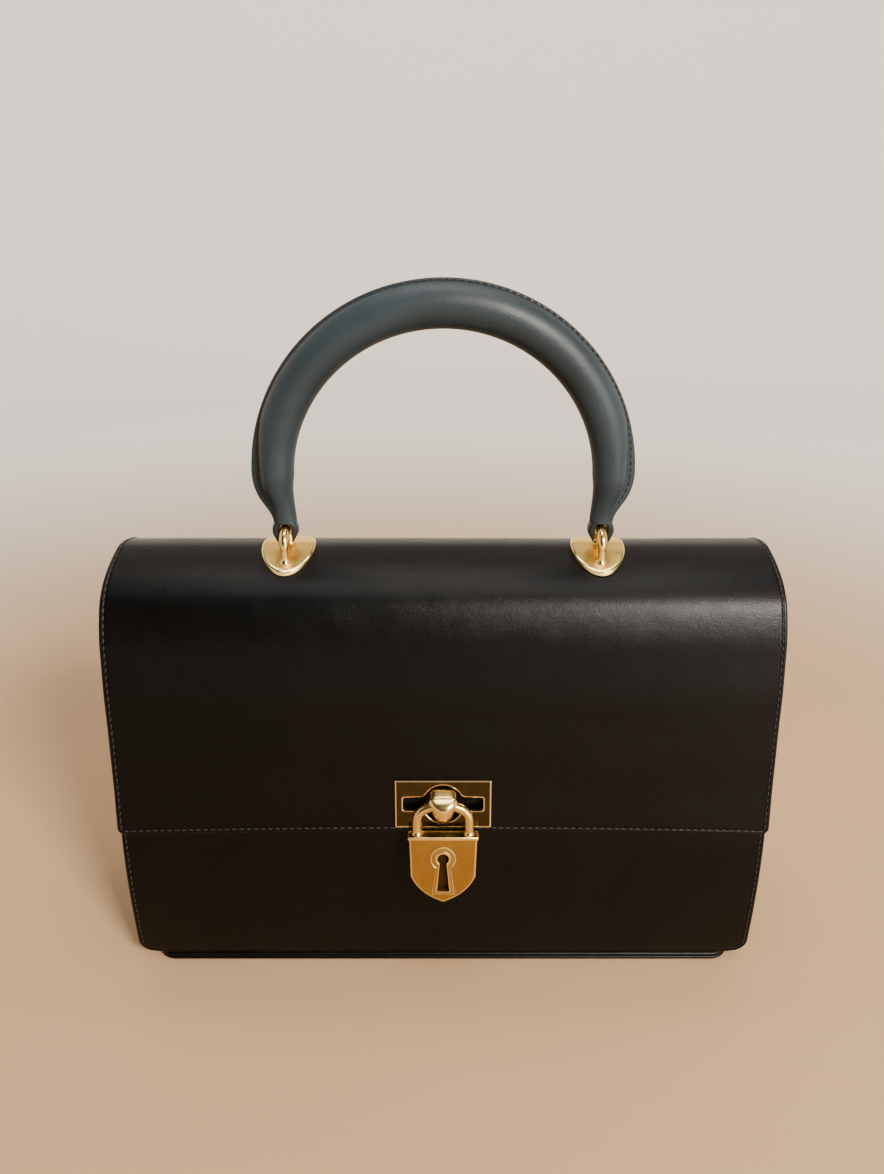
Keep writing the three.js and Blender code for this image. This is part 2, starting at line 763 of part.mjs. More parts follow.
function makePadlockBody() {
  const half = padlockThickness / 2;
  const slab = solidOf(prismForward(padlockOutline(0), half, padlockBevel - half));
  const face = solidOf(prismForward(padlockOutline(padlockBevel), half, -half));
  const lip = solidOf(
    prismForward(
      rectangle(
        -padlockWidth / 2 - padlockLipProud,
        padlockWidth / 2 + padlockLipProud,
        padlockTop - padlockLipHeight,
        padlockTop,
        0,
        0,
      ),
      half,
      -half - padlockLipProud,
    ),
  );
  const rim = solidOf(
    prismForward(keyholeOutline(keyRimWidth, keyRimFootMargin), 0, -half - keyRimProud),
  );
  const keyhole = solidOf(
    prismForward(keyholeOutline(0, 0), keyholeDepth - half, -2 * padlockThickness),
  );
  const legHoles = [-shackleHalfSpread, shackleHalfSpread].map((x) =>
    solidOf(
      prismUp(
        circle(shackleWireRadius + seatGap, roundSides, x, 0),
        padlockTop - shackleSink - seatGap,
        padlockTop + overshoot,
      ),
    ),
  );
  const body = slab.add(face).add(lip).add(rim).subtract(keyhole);
  return legHoles.reduce((solid, hole) => solid.subtract(hole), body);
}

// The assembly

const bag = new THREE.Group();
bag.add(part('back_flap', geometryOf(makeBackFlap()), blackLeather));
bag.add(part('front_panel', geometryOf(makeFrontPanel()), blackLeather));
bag.add(part('gusset_strip', geometryOf(makeGusset()), blackLeather));
bag.add(part('base_panel', makeBase(), blackLeather));
bag.add(part('handle_grip', makeGrip(), slateLeather));

const sides = [
  { name: 'left', x: -handleSpread / 2 },
  { name: 'right', x: handleSpread / 2 },
];
for (const side of sides) {
  bag.add(part(`handle_tab_${side.name}`, geometryOf(makeTab(side.x)), slateLeather));
  bag.add(part(`ring_plate_${side.name}`, geometryOf(makeRingPlate(side.x)), brass));
}

lock.add(part('lock_plate', geometryOf(makeLockPlate()), brass));
lock.add(part('turn_knob', geometryOf(makeKnob()), brass));
lock.add(part('knob_post', makePost(), brass));

const padlock = new THREE.Group();
padlock.position.set(0, -shacklePlane, knobEyeRaise - wireDrop / 2);
padlock.add(part('padlock_body', geometryOf(makePadlockBody()), brass));
padlock.add(part('padlock_shackle', makeShackle(), brass));
lock.add(padlock);
bag.add(lock);

export default bag;
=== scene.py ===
import logging
import math
from dataclasses import dataclass
from dataclasses import field
from enum import Enum

import bmesh
import bpy
import numpy as np
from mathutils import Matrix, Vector


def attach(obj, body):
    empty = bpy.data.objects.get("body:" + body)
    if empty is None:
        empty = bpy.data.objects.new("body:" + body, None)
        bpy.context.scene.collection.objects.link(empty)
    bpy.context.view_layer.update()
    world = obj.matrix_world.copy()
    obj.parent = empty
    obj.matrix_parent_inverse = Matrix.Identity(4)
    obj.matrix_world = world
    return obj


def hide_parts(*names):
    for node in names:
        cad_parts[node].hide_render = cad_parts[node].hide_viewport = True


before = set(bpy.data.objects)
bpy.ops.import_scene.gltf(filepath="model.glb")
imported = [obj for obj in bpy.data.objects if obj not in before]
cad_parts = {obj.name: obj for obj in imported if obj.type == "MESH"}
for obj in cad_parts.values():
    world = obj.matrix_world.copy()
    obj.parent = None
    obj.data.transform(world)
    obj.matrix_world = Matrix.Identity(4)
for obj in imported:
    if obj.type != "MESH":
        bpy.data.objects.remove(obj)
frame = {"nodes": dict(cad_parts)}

LOG = logging.getLogger("handbag")
MM = 0.001
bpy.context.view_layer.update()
Array = np.ndarray


class Body(str, Enum):
    """The bodies that pieces move with."""

    BAG = "bag"
    HANDLE = "handle"
    PADLOCK = "padlock"


class Slot(str, Enum):
    """The material slots of the record."""

    BLACK_LEATHER = "black_leather"
    SLATE_LEATHER = "slate_leather"
    BRASS = "brass"


# Small maths on whole arrays


def lerp(start: Array | float, end: Array | float, share: Array | float) -> Array | float:
    """Mix start and end: start plus share times their difference."""
    return start + (end - start) * share


def ease(value: Array | float, low: float, high: float) -> Array:
    """Smooth step of value from 0 at low to 1 at high: t squared times (3 - 2 t)."""
    share = np.clip((np.asarray(value) - low) / (high - low), 0, 1)
    return share * share * (3 - 2 * share)


def unit(vectors: Array) -> Array:
    """Vectors along the last axis, each divided by its own length."""
    return vectors / np.maximum(np.linalg.norm(vectors, axis=-1, keepdims=True), 1e-12)


def power(value: Array, exponent: float) -> Array:
    """Sign of value times its size raised to exponent, for superellipses."""
    return np.sign(value) * np.abs(value) ** exponent


def graded(length: float, near_ends: Array, step: float) -> Array:
    """Places from 0 to length: the given distances in from each end, and even steps between.

    Args:
        length: Whole length.
        near_ends: Rising distances in from an end, starting at 0.
        step: Largest step between.

    Returns:
        Rising places.
    """
    last = near_ends[-1]
    count = max(int(math.ceil((length - 2 * last) / step)), 2)
    middle = np.linspace(last, length - last, count + 1)[1:-1]
    return np.concatenate([near_ends, middle, (length - near_ends)[::-1]])


# Meshes


@dataclass
class Shell:
    """Points and faces of one piece under construction, in millimetres.

    Attributes:
        points: List of point arrays.
        faces: List of face index tuples.
        fields: Named values per point, list of arrays for each name.
    """

    points: list[Array] = field(default_factory=list)
    faces: list[Array] = field(default_factory=list)
    fields: dict[str, list[Array]] = field(default_factory=dict)

    def count(self) -> int:
        """Number of points so far."""
        return sum(len(p) for p in self.points)

    def add_grid(self, grid: Array, wrap: bool = False, **fields: Array | float) -> None:
        """Add a surface: point (i, j) joins (i + 1, j), (i + 1, j + 1) and (i, j + 1).

        Args:
            grid: Points as rows, columns, 3.
            wrap: Whether the last column joins the first.
            fields: Values per point, as rows and columns or as one number.
        """
        rows, cols, _ = grid.shape
        index = np.arange(rows * cols).reshape(rows, cols) + self.count()
        if wrap:
            index = np.concatenate([index, index[:, :1]], 1)
        quads = np.stack([index[:-1, :-1], index[1:, :-1], index[1:, 1:], index[:-1, 1:]], -1)
        self.points.append(grid.reshape(-1, 3))
        self.faces.append(quads.reshape(-1, 4))
        for name in set(fields) | set(self.fields):
            values = np.broadcast_to(fields.get(name, 0.0), (rows, cols)).ravel()
            before = self.fields.setdefault(name, [np.zeros(self.count() - rows * cols)])
            before.append(values)

    def build(self, name: str, crease: float = 40.0, merge: float = 0.002) -> bpy.types.Object:
        """Make the object: merge points that coincide, turn faces outwards and shade smooth.

        Args:
            name: Name of the piece.
            crease: Angle in degrees above which an edge stays sharp.
            merge: Distance in millimetres below which points are one.

        Returns:
            The object, at the origin, with its place in its mesh in metres.
        """
        mesh = bpy.data.meshes.new(name)
        points = np.concatenate(self.points) * MM
        faces = np.concatenate(self.faces)
        mesh.vertices.add(len(points))
        mesh.vertices.foreach_set("co", points.astype(np.float32).ravel())
        mesh.loops.add(faces.size)
        mesh.loops.foreach_set("vertex_index", faces.astype(np.int32).ravel())
        mesh.polygons.add(len(faces))
        mesh.polygons.foreach_set("loop_start", np.arange(0, faces.size, 4, dtype=np.int32))
        mesh.update(calc_edges=True)
        for label, values in self.fields.items():
            layer = mesh.attributes.new(label, "FLOAT", "POINT")
            layer.data.foreach_set("value", np.concatenate(values).astype(np.float32))
        draft = bmesh.new()
        draft.from_mesh(mesh)
        bmesh.ops.remove_doubles(draft, verts=draft.verts, dist=merge * MM)
        bmesh.ops.dissolve_degenerate(draft, edges=draft.edges, dist=1e-7)
        bmesh.ops.recalc_face_normals(draft, faces=draft.faces)
        draft.to_mesh(mesh)
        draft.free()
        mesh.shade_smooth()
        mesh.set_sharp_from_angle(angle=math.radians(crease))
        piece = bpy.data.objects.new(name, mesh)
        bpy.context.scene.collection.objects.link(piece)
        return piece


def cut(piece: bpy.types.Object, cutter: bpy.types.Object, crease: float = 40.0) -> None:
    """Take the cutter's volume out of the piece, and delete the cutter."""
    tool = piece.modifiers.new("cut", "BOOLEAN")
    tool.operation = "DIFFERENCE"
    tool.solver = "EXACT"
    tool.object = cutter
    graph = bpy.context.evaluated_depsgraph_get()
    mesh = bpy.data.meshes.new_from_object(piece.evaluated_get(graph), depsgraph=graph)
    piece.modifiers.clear()
    piece.data = mesh
    mesh.shade_smooth()
    mesh.set_sharp_from_angle(angle=math.radians(crease))
    bpy.data.objects.remove(cutter)


def settle(
    piece: bpy.types.Object,
    body: Body,
    slot: Slot,
    finish: bpy.types.Material,
    *nodes: str,
) -> None:
    """Give a piece its finish and body, and hide the CAD nodes that it stands for.

    Args:
        piece: The piece.
        body: The body that it moves with.
        slot: Its material slot in the record; not used.
        finish: Its material.
        nodes: Names of the CAD nodes that it stands for.
    """
    piece.data.materials.clear()
    piece.data.materials.append(finish)
    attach(piece, body.value)
    if nodes:
        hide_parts(*nodes)
    LOG.info("%s: %d faces on %s", piece.name, len(piece.data.polygons), body.value)


# Shader maths


class Wire:
    """One output of a shader node, with the usual operators on values."""

    def __init__(self, sheet: "Nodes", socket: bpy.types.NodeSocket) -> None:
        """Keep the socket and the tree that it belongs to."""
        self.sheet = sheet
        self.socket = socket

    def _math(self, operation: str, *values: "Wire | float") -> "Wire":
        """A Math node of these values."""
        return self.sheet.node("ShaderNodeMath", {"operation": operation}, dict(enumerate(values)))

    def __add__(self, other: "Wire | float") -> "Wire":
        """Sum."""
        return self._math("ADD", self, other)

    def __radd__(self, other: float) -> "Wire":
        """Sum, reflected."""
        return self._math("ADD", other, self)

    def __sub__(self, other: "Wire | float") -> "Wire":
        """Difference."""
        return self._math("SUBTRACT", self, other)

    def __rsub__(self, other: float) -> "Wire":
        """Difference, reflected."""
        return self._math("SUBTRACT", other, self)

    def __mul__(self, other: "Wire | float") -> "Wire":
        """Product."""
        return self._math("MULTIPLY", self, other)

    def __rmul__(self, other: float) -> "Wire":
        """Product, reflected."""
        return self._math("MULTIPLY", other, self)

    def clamp(self, low: float, high: float) -> "Wire":
        """Value held between low and high."""
        return self._math("MINIMUM", self._math("MAXIMUM", self, low), high)


class Nodes:
    """The node tree of one material."""

    def __init__(self, name: str) -> None:
        """Start an empty material with that name."""
        self.material = bpy.data.materials.new(name)
        self.material.use_nodes = True
        self.tree = self.material.node_tree
        self.tree.nodes.clear()
        self.output = self.tree.nodes.new("ShaderNodeOutputMaterial")

    def node(
        self,
        kind: str,
        settings: dict[str, object] | None = None,
        inputs: dict[str | int, object] | None = None,
        out: str | int = 0,
    ) -> Wire:
        """Add a node: its settings first, then its sockets' values or links.

        Args:
            kind: Node type.
            settings: Properties of the node, such as a Math node's operation.
            inputs: Socket name or number to a value or a Wire.
            out: Name or number of the output that is returned.

        Returns:
            The chosen output.
        """
        made = self.tree.nodes.new(kind)
        for key, value in (settings or {}).items():
            setattr(made, key, value)
        for key, value in (inputs or {}).items():
            socket = made.inputs[key]
            if isinstance(value, Wire):
                self.tree.links.new(value.socket, socket)
            else:
                socket.default_value = value
        return Wire(self, made.outputs[out])

    def place(self) -> Wire:
        """Object coordinates."""
        return self.node("ShaderNodeTexCoord", out="Object")

    def attribute(self, name: str) -> Wire:
        """A value that the mesh carries at its points."""
        return self.node("ShaderNodeAttribute", {"attribute_name": name}, out="Fac")

    def stretched(self, scale: tuple[float, float, float]) -> Wire:
        """Object coordinates scaled along each axis."""
        return self.node("ShaderNodeMapping", {}, {"Vector": self.place(), "Scale": scale})

    def noise(self, scale: float, detail: float = 4.0, vector: Wire | None = None) -> Wire:
        """Noise from 0 to 1, so many times per metre."""
        values = {"Vector": vector or self.place(), "Scale": scale, "Detail": detail}
        return self.node("ShaderNodeTexNoise", {}, values, "Fac")

    def cells(self, scale: float) -> Wire:
        """Distance to the nearest cell edge of a pebble pattern, so many cells per metre."""
        settings = {"feature": "DISTANCE_TO_EDGE"}
        values = {"Vector": self.place(), "Scale": scale}
        return self.node("ShaderNodeTexVoronoi", settings, values, "Distance")

    def band(self, value: Wire, low: float, high: float) -> Wire:
        """Value mapped from low..high to 0..1, held there, rising smoothly."""
        settings = {"interpolation_type": "SMOOTHSTEP"}
        values = {"Value": value, "From Min": low, "From Max": high}
        return self.node("ShaderNodeMapRange", settings, values)

    def mix(self, share: Wire | float, first: object, second: object) -> Wire:
        """First colour where share is 0, second where it is 1."""
        values = {0: share, 6: first, 7: second}
        return self.node("ShaderNodeMix", {"data_type": "RGBA"}, values, 2)

    def bump(self, height: Wire, depth: float, under: Wire | None = None) -> Wire:
        """Normal from a height from 0 to 1 that stands for depth in metres."""
        values = {"Height": height, "Distance": depth, "Strength": 1.0}
        if under:
            values["Normal"] = under
        return self.node("ShaderNodeBump", {}, values)

    def surface(self, inputs: dict[str, object]) -> bpy.types.Material:
        """End the material with a Principled shader of these inputs."""
        shader = self.node("ShaderNodeBsdfPrincipled", {}, inputs)
        self.tree.links.new(shader.socket, self.output.inputs["Surface"])
        return self.material


Colour = tuple[float, float, float]
Place = tuple[float, float, float]


def rgba(colour: Colour) -> tuple[float, float, float, float]:
    """A colour with full opacity."""
    return (*colour, 1.0)


@dataclass(frozen=True)
class LeatherFinish:
    """Smooth fine-grained calf with painted edges.

    Attributes:
        name: Material name.
        deep: Colour in the pores.
        face: Colour of the face.
        edge: Colour of the painted edge.
        roughness: Middle roughness of the face.
        gloss: Specular level.
        grain: Depth of the grain in metres.
        pores: Pebbles of the grain per metre.
        fibres: Fine fibres per metre.
        swells: Soft unevenness of the face per metre.
        clouds: Mottles of the dye per metre.
        rubs: Rubbed patches per metre.
        edge_roughness: Roughness of the painted edge.
    """

    name: str
    deep: Colour
    face: Colour
    edge: Colour
    roughness: float
    gloss: float
    grain: float
    pores: float = 1300.0
    fibres: float = 3800.0
    swells: float = 60.0
    clouds: float = 26.0
    rubs: float = 95.0
    edge_roughness: float = 0.36

    def make(self) -> bpy.types.Material:
        """Build the material.

        Returns:
            The leather: pebbled pores over a soft fibre, mottled dye, and painted edges.
        """
        nodes = Nodes(self.name)
        pebbles = nodes.band(nodes.cells(self.pores), 0.0, 0.3)
        fibre = nodes.noise(self.fibres, 4)
        cloud = nodes.noise(self.clouds, 5)
        rub = nodes.noise(self.rubs, 6)
        rim = nodes.attribute("rim")
        dye = nodes.mix(nodes.band(cloud, 0.3, 0.7), rgba(self.deep), rgba(self.face))
        dye = nodes.mix(pebbles * 0.35 + 0.65, rgba(self.deep), dye)
        colour = nodes.mix(rim, dye, rgba(self.edge))
        height = (pebbles * 0.7 + fibre * 0.3) * (1 - rim * 0.8)
        normal = nodes.bump(height, self.grain)
        normal = nodes.bump(nodes.noise(self.swells, 3), self.grain * 6, normal)
        face_roughness = self.roughness + (rub - 0.5) * 0.16 - pebbles * 0.05
        roughness = (face_roughness * (1 - rim) + rim * self.edge_roughness).clamp(0.1, 0.9)
        return nodes.surface(
            {
                "Base Color": colour,
                "Roughness": roughness,
                "Specular IOR Level": self.gloss,
                "Normal": normal,
            }
        )


@dataclass(frozen=True)
class BrassFinish:
    """Antique gold-coloured brass.

    Attributes:
        name: Material name.
        face: Colour of the satin faces.
        bright: Colour of polished edges.
        tarnish: Colour of the tarnish in scuffs and brushing; 0.12 times it is the painted shade in the
            hollows.
        roughness: Roughness of the faces.
        worn: How far cloudy wear brings the faces towards the bright colour.
        lines: Brushed lines per metre along each axis.
        clouds: Cloudy patches per metre.
        scuffs: Scuffs per metre.
        scratch: Depth of the brushing in metres.
    """

    name: str
    face: Colour
    bright: Colour
    tarnish: Colour
    roughness: float
    worn: float = 0.14
    lines: tuple[float, float, float] = (2600.0, 2600.0, 130.0)
    clouds: float = 190.0
    scuffs: float = 900.0
    scratch: float = 0.000012

    def make(self) -> bpy.types.Material:
        """Build the material.

        Returns:
            The brass: fine brushing, cloudy tarnish, edges rubbed bright, and painted shade in the hollows.
        """
        nodes = Nodes(self.name)
        brushing = nodes.noise(1, 4, nodes.stretched(self.lines))
        cloud = nodes.noise(self.clouds, 6)
        scuffs = nodes.noise(self.scuffs, 8)
        polish = nodes.attribute("polish")
        # Painted shade: where the mesh's hollow value is high, in the padlock's keyhole and the grooves round
        # it, the colour goes near black.
        hollow = nodes.attribute("hollow")
        hollow_shade_colour = tuple(0.12 * part for part in self.tarnish)
        colour = nodes.mix(nodes.band(cloud, 0.3, 0.8) * self.worn, rgba(self.face), rgba(self.bright))
        colour = nodes.mix(nodes.band(scuffs, 0.5, 0.8) * 0.14, colour, rgba(self.tarnish))
        colour = nodes.mix(brushing * 0.16, colour, rgba(self.tarnish))
        colour = nodes.mix(polish, colour, rgba(self.bright))
        colour = nodes.mix(hollow, colour, rgba(hollow_shade_colour))
        matt = self.roughness + (cloud - 0.5) * 0.08 + (brushing - 0.5) * 0.12
        roughness = (matt * (1 - polish * 0.45) + hollow * 0.25).clamp(0.06, 0.9)
        normal = nodes.bump(brushing * (1 - polish * 0.8), self.scratch)
        return nodes.surface(
            {
                "Base Color": colour,
                "Metallic": 1.0,
                "Roughness": roughness,
                "Normal": normal,
            }
        )


@dataclass(frozen=True)
class ThreadFinish:
    """Waxed sewing thread.

    Attributes:
        name: Material name.
        dark: Colour between the fibres.
        light: Colour of the fibres.
        fibres: Fibres per metre.
        twist: Depth of the fibres in metres.
    """

    name: str
    dark: Colour
    light: Colour
    fibres: float = 7000.0
    twist: float = 0.00008

    def make(self) -> bpy.types.Material:
        """Build the material: dark thread whose fibres catch a little light."""
        nodes = Nodes(self.name)
        fibre = nodes.noise(self.fibres, 4)
        colour = nodes.mix(nodes.band(fibre, 0.4, 0.7), rgba(self.dark), rgba(self.light))
        return nodes.surface(
            {
                "Base Color": colour,
                "Roughness": 0.45,
                "Specular IOR Level": 0.3,
                "Normal": nodes.bump(fibre, self.twist),
            }
        )


# The form line of the bag


@dataclass
class FormLine:
    """The bag's section line in the (y, z) plane, in millimetres, from the front foot over the ridge.

    Attributes:
        height: Height of the line.
        front_reach: Reach of the line to the front.
        back_reach: Reach of the line to the back.
        front: Shares of height and of front reach, from the floor to the ridge.
        back: Shares of height and of back reach, from the ridge to the floor.
        samples: Number of points along the line.
    """

    height: float = 192.3
    front_reach: float = 50.4
    back_reach: float = 44.0
    front: tuple[tuple[float, float], ...] = (
        (0.000, 0.930), (0.035, 0.960), (0.082, 0.978), (0.164, 0.996), (0.263, 1.000),
        (0.351, 0.982), (0.420, 0.948), (0.498, 0.901), (0.578, 0.863), (0.656, 0.827),
        (0.733, 0.798), (0.806, 0.752), (0.858, 0.712), (0.915, 0.622), (0.943, 0.536),
        (0.965, 0.418), (0.984, 0.252), (0.996, 0.100),
    )
    back: tuple[tuple[float, float], ...] = (
        (1.000, -0.030), (0.998, 0.130), (0.986, 0.320), (0.962, 0.510), (0.925, 0.660),
        (0.875, 0.775), (0.800, 0.860), (0.660, 0.925), (0.480, 0.965), (0.280, 0.995),
        (0.120, 1.000), (0.000, 0.985),
    )
    samples: int = 1200

    def __post_init__(self) -> None:
        """Lay a Catmull-Rom curve through the shares and keep fine samples of it."""
        front = [(-self.front_reach * r, self.height * h) for h, r in self.front]
        back = [(self.back_reach * r, self.height * h) for h, r in self.back]
        knots = np.array(front + back)
        ahead = np.vstack([knots[:1], knots, knots[-1:]])
        spot = np.linspace(0, len(knots) - 1, self.samples)
        i = np.minimum(spot.astype(int), len(knots) - 2)
        t = (spot - i)[:, None]
        a, b, c, d = (ahead[i + k] for k in range(4))
        bend = (2 * a - 5 * b + 4 * c - d) * t**2 + (3 * b - a - 3 * c + d) * t**3
        self.line = b + 0.5 * ((c - a) * t + bend)
        along = np.gradient(self.line, axis=0)
        self.out = unit(np.stack([-along[:, 1], along[:, 0]], -1))

    def offset(self, distance: float) -> Array:
        """Samples of the line moved outwards by a distance."""
        return self.line + self.out * distance

    def measure(self, distance: float) -> Array:
        """Running length of the line moved outwards by a distance."""
        steps = np.linalg.norm(np.diff(self.offset(distance), axis=0), axis=1)
        return np.concatenate([[0], np.cumsum(steps)])

    def ridge(self) -> int:
        """Number of the highest sample."""
        return int(np.argmax(self.line[:, 1]))

    def run_at(self, distance: float, height: float | Array, rear: bool = False) -> Array:
        """Running length at which the moved line is at a height, on the front or the rear side."""
        line, run, top = self.offset(distance), self.measure(distance), self.ridge()
        if rear:
            return np.interp(-np.asarray(height), -line[top:, 1], run[top:])
        return np.interp(height, line[: top + 1, 1], run[: top + 1])

    def at_run(self, distance: float, run: Array) -> tuple[Array, Array, Array, Array]:
        """Place and outward direction on the moved line: y, z, and the y and z of out."""
        line, length = self.offset(distance), self.measure(distance)
        values = [line[:, 0], line[:, 1], self.out[:, 0], self.out[:, 1]]
        return tuple(np.interp(run, length, v) for v in values)

    def front_at(self, distance: float, height: Array) -> Array:
        """y of the moved line's front side at a height."""
        line, top = self.offset(distance), self.ridge()
        return np.interp(height, line[: top + 1, 1], line[: top + 1, 0])

    def rear_at(self, distance: float, height: Array) -> Array:
        """y of the moved line's rear side at a height."""
        line, top = self.offset(distance), self.ridge()
        return np.interp(-np.asarray(height), -line[top:, 1], line[top:, 0])

    def top_at(self, distance: float, y: Array) -> Array:
        """z of the moved line over the top of the bag at a place y."""
        line = self.offset(distance)
        high = line[:, 1] > self.height / 2
        return np.interp(y, line[high, 0], line[high, 1])


FORM = FormLine()
EDGE_STEPS = np.array([0.0, 0.05, 0.18, 0.4, 0.7, 1.05, 1.45, 1.75, 2.0, 2.2, 2.4, 2.65, 3.0, 3.6, 5.0])


def sheet_shell(
    shell: Shell,
    middle: Array,
    out: Array,
    inset: Array,
    thickness: float,
    seam: float = 2.2,
    sink: float = 0.22,
) -> None:
    """Add one closed sheet of leather to a shell.

    The faces stand half the thickness either side of the middle surface. Within half a thickness of an
    edge they close in on a half round: half thickness times the root of 1 - (1 - d / r) squared. The
    outer face sinks along the seam as a bell curve of the distance to it.

    Args:
        shell: Where the sheet is added.
        middle: Middle surface, rows, columns, 3.
        out: Outward directions at its points.
        inset: Distance of each point from the nearest edge.
        thickness: Thickness of the sheet.
        seam: Distance of the sewn line from the edge.
        sink: Depth to which the thread pulls the face down.
    """
    half = thickness / 2
    near = np.clip(inset / half, 0, 1)
    full = half * np.sqrt(1 - (1 - near) ** 2)
    groove = sink * np.exp(-(((inset - seam) / 0.42) ** 2))
    rim = 1 - ease(inset, half * 0.75, half * 1.05)
    up = (full - groove * (full > 0))[..., None]
    shell.add_grid(middle + out * up, rim=rim)
    shell.add_grid((middle - out * full[..., None])[:, ::-1], rim=rim[:, ::-1])


@dataclass
class Stitches:
    """Saddle stitches along a sewn line, in millimetres.

    Attributes:
        pitch: Distance from stitch to stitch.
        length: Length of a stitch.
        radius: Half the thread's thickness.
        lean: Sideways slant of each stitch.
        sides: Points round the thread.
        rings: Rings along a stitch.
    """

    pitch: float = 3.2
    length: float = 2.75
    radius: float = 0.36
    lean: float = 0.16
    sides: int = 8
    rings: int = 7

    def along(self, shell: Shell, path: Array, out: Array) -> None:
        """Add a row of stitches: a lens-shaped, twisted thread every pitch along the path.

        Each stitch is a tube. Its radius is the thread's radius times the root of 1 - s to the fourth,
        for s from -1 to 1 along it, and two plies swell it by a cosine of twice the angle plus a twist.

        Args:
            shell: Where the stitches are added.
            path: Points of the sewn line on the leather's face.
            out: Directions out of the leather there.
        """
        run = np.concatenate([[0], np.cumsum(np.linalg.norm(np.diff(path, axis=0), axis=1))])
        count = int((run[-1] - self.length) // self.pitch) + 1
        start = (run[-1] - (count - 1) * self.pitch) / 2
        centre = start + np.arange(count) * self.pitch

        def sampled(places: Array, values: Array) -> Array:
            """Values along the path at running lengths."""
            return np.stack([np.interp(places, run, values[:, k]) for k in range(3)], -1)

        s = np.linspace(-1, 1, self.rings)
        angle = np.linspace(0, 2 * np.pi, self.sides, endpoint=False)
        here = centre[:, None] + s * self.length / 2
        spots, ups = sampled(here, path), unit(sampled(here, out))
        forward = unit(sampled(here + 0.2, path) - sampled(here - 0.2, path))
        side = unit(np.cross(forward, ups))
        bow = self.radius * (0.62 - 1.5 * s**4)
        spots = spots + ups * bow[:, None] + side * (self.lean * s)[:, None]
        body = self.radius * np.sqrt(np.maximum(1 - s**4, 0.0))
        swell = 1 + 0.16 * np.cos(2 * angle + 3.4 * s[:, None])
        ring = (body[:, None] * swell)[None, ..., None]
        turned = np.cos(angle)[:, None] * side[:, :, None] + np.sin(angle)[:, None] * ups[:, :, None]
        for tube in spots[:, :, None] + ring * turned:
            shell.add_grid(tube, wrap=True)


def capped(rings: Array) -> Array:
    """Rings, rows of closed outlines, with a point at the middle of each end."""
    first = np.broadcast_to(rings[0].mean(0), rings[0].shape)
    last = np.broadcast_to(rings[-1].mean(0), rings[-1].shape)
    return np.concatenate([first[None], rings, last[None]])


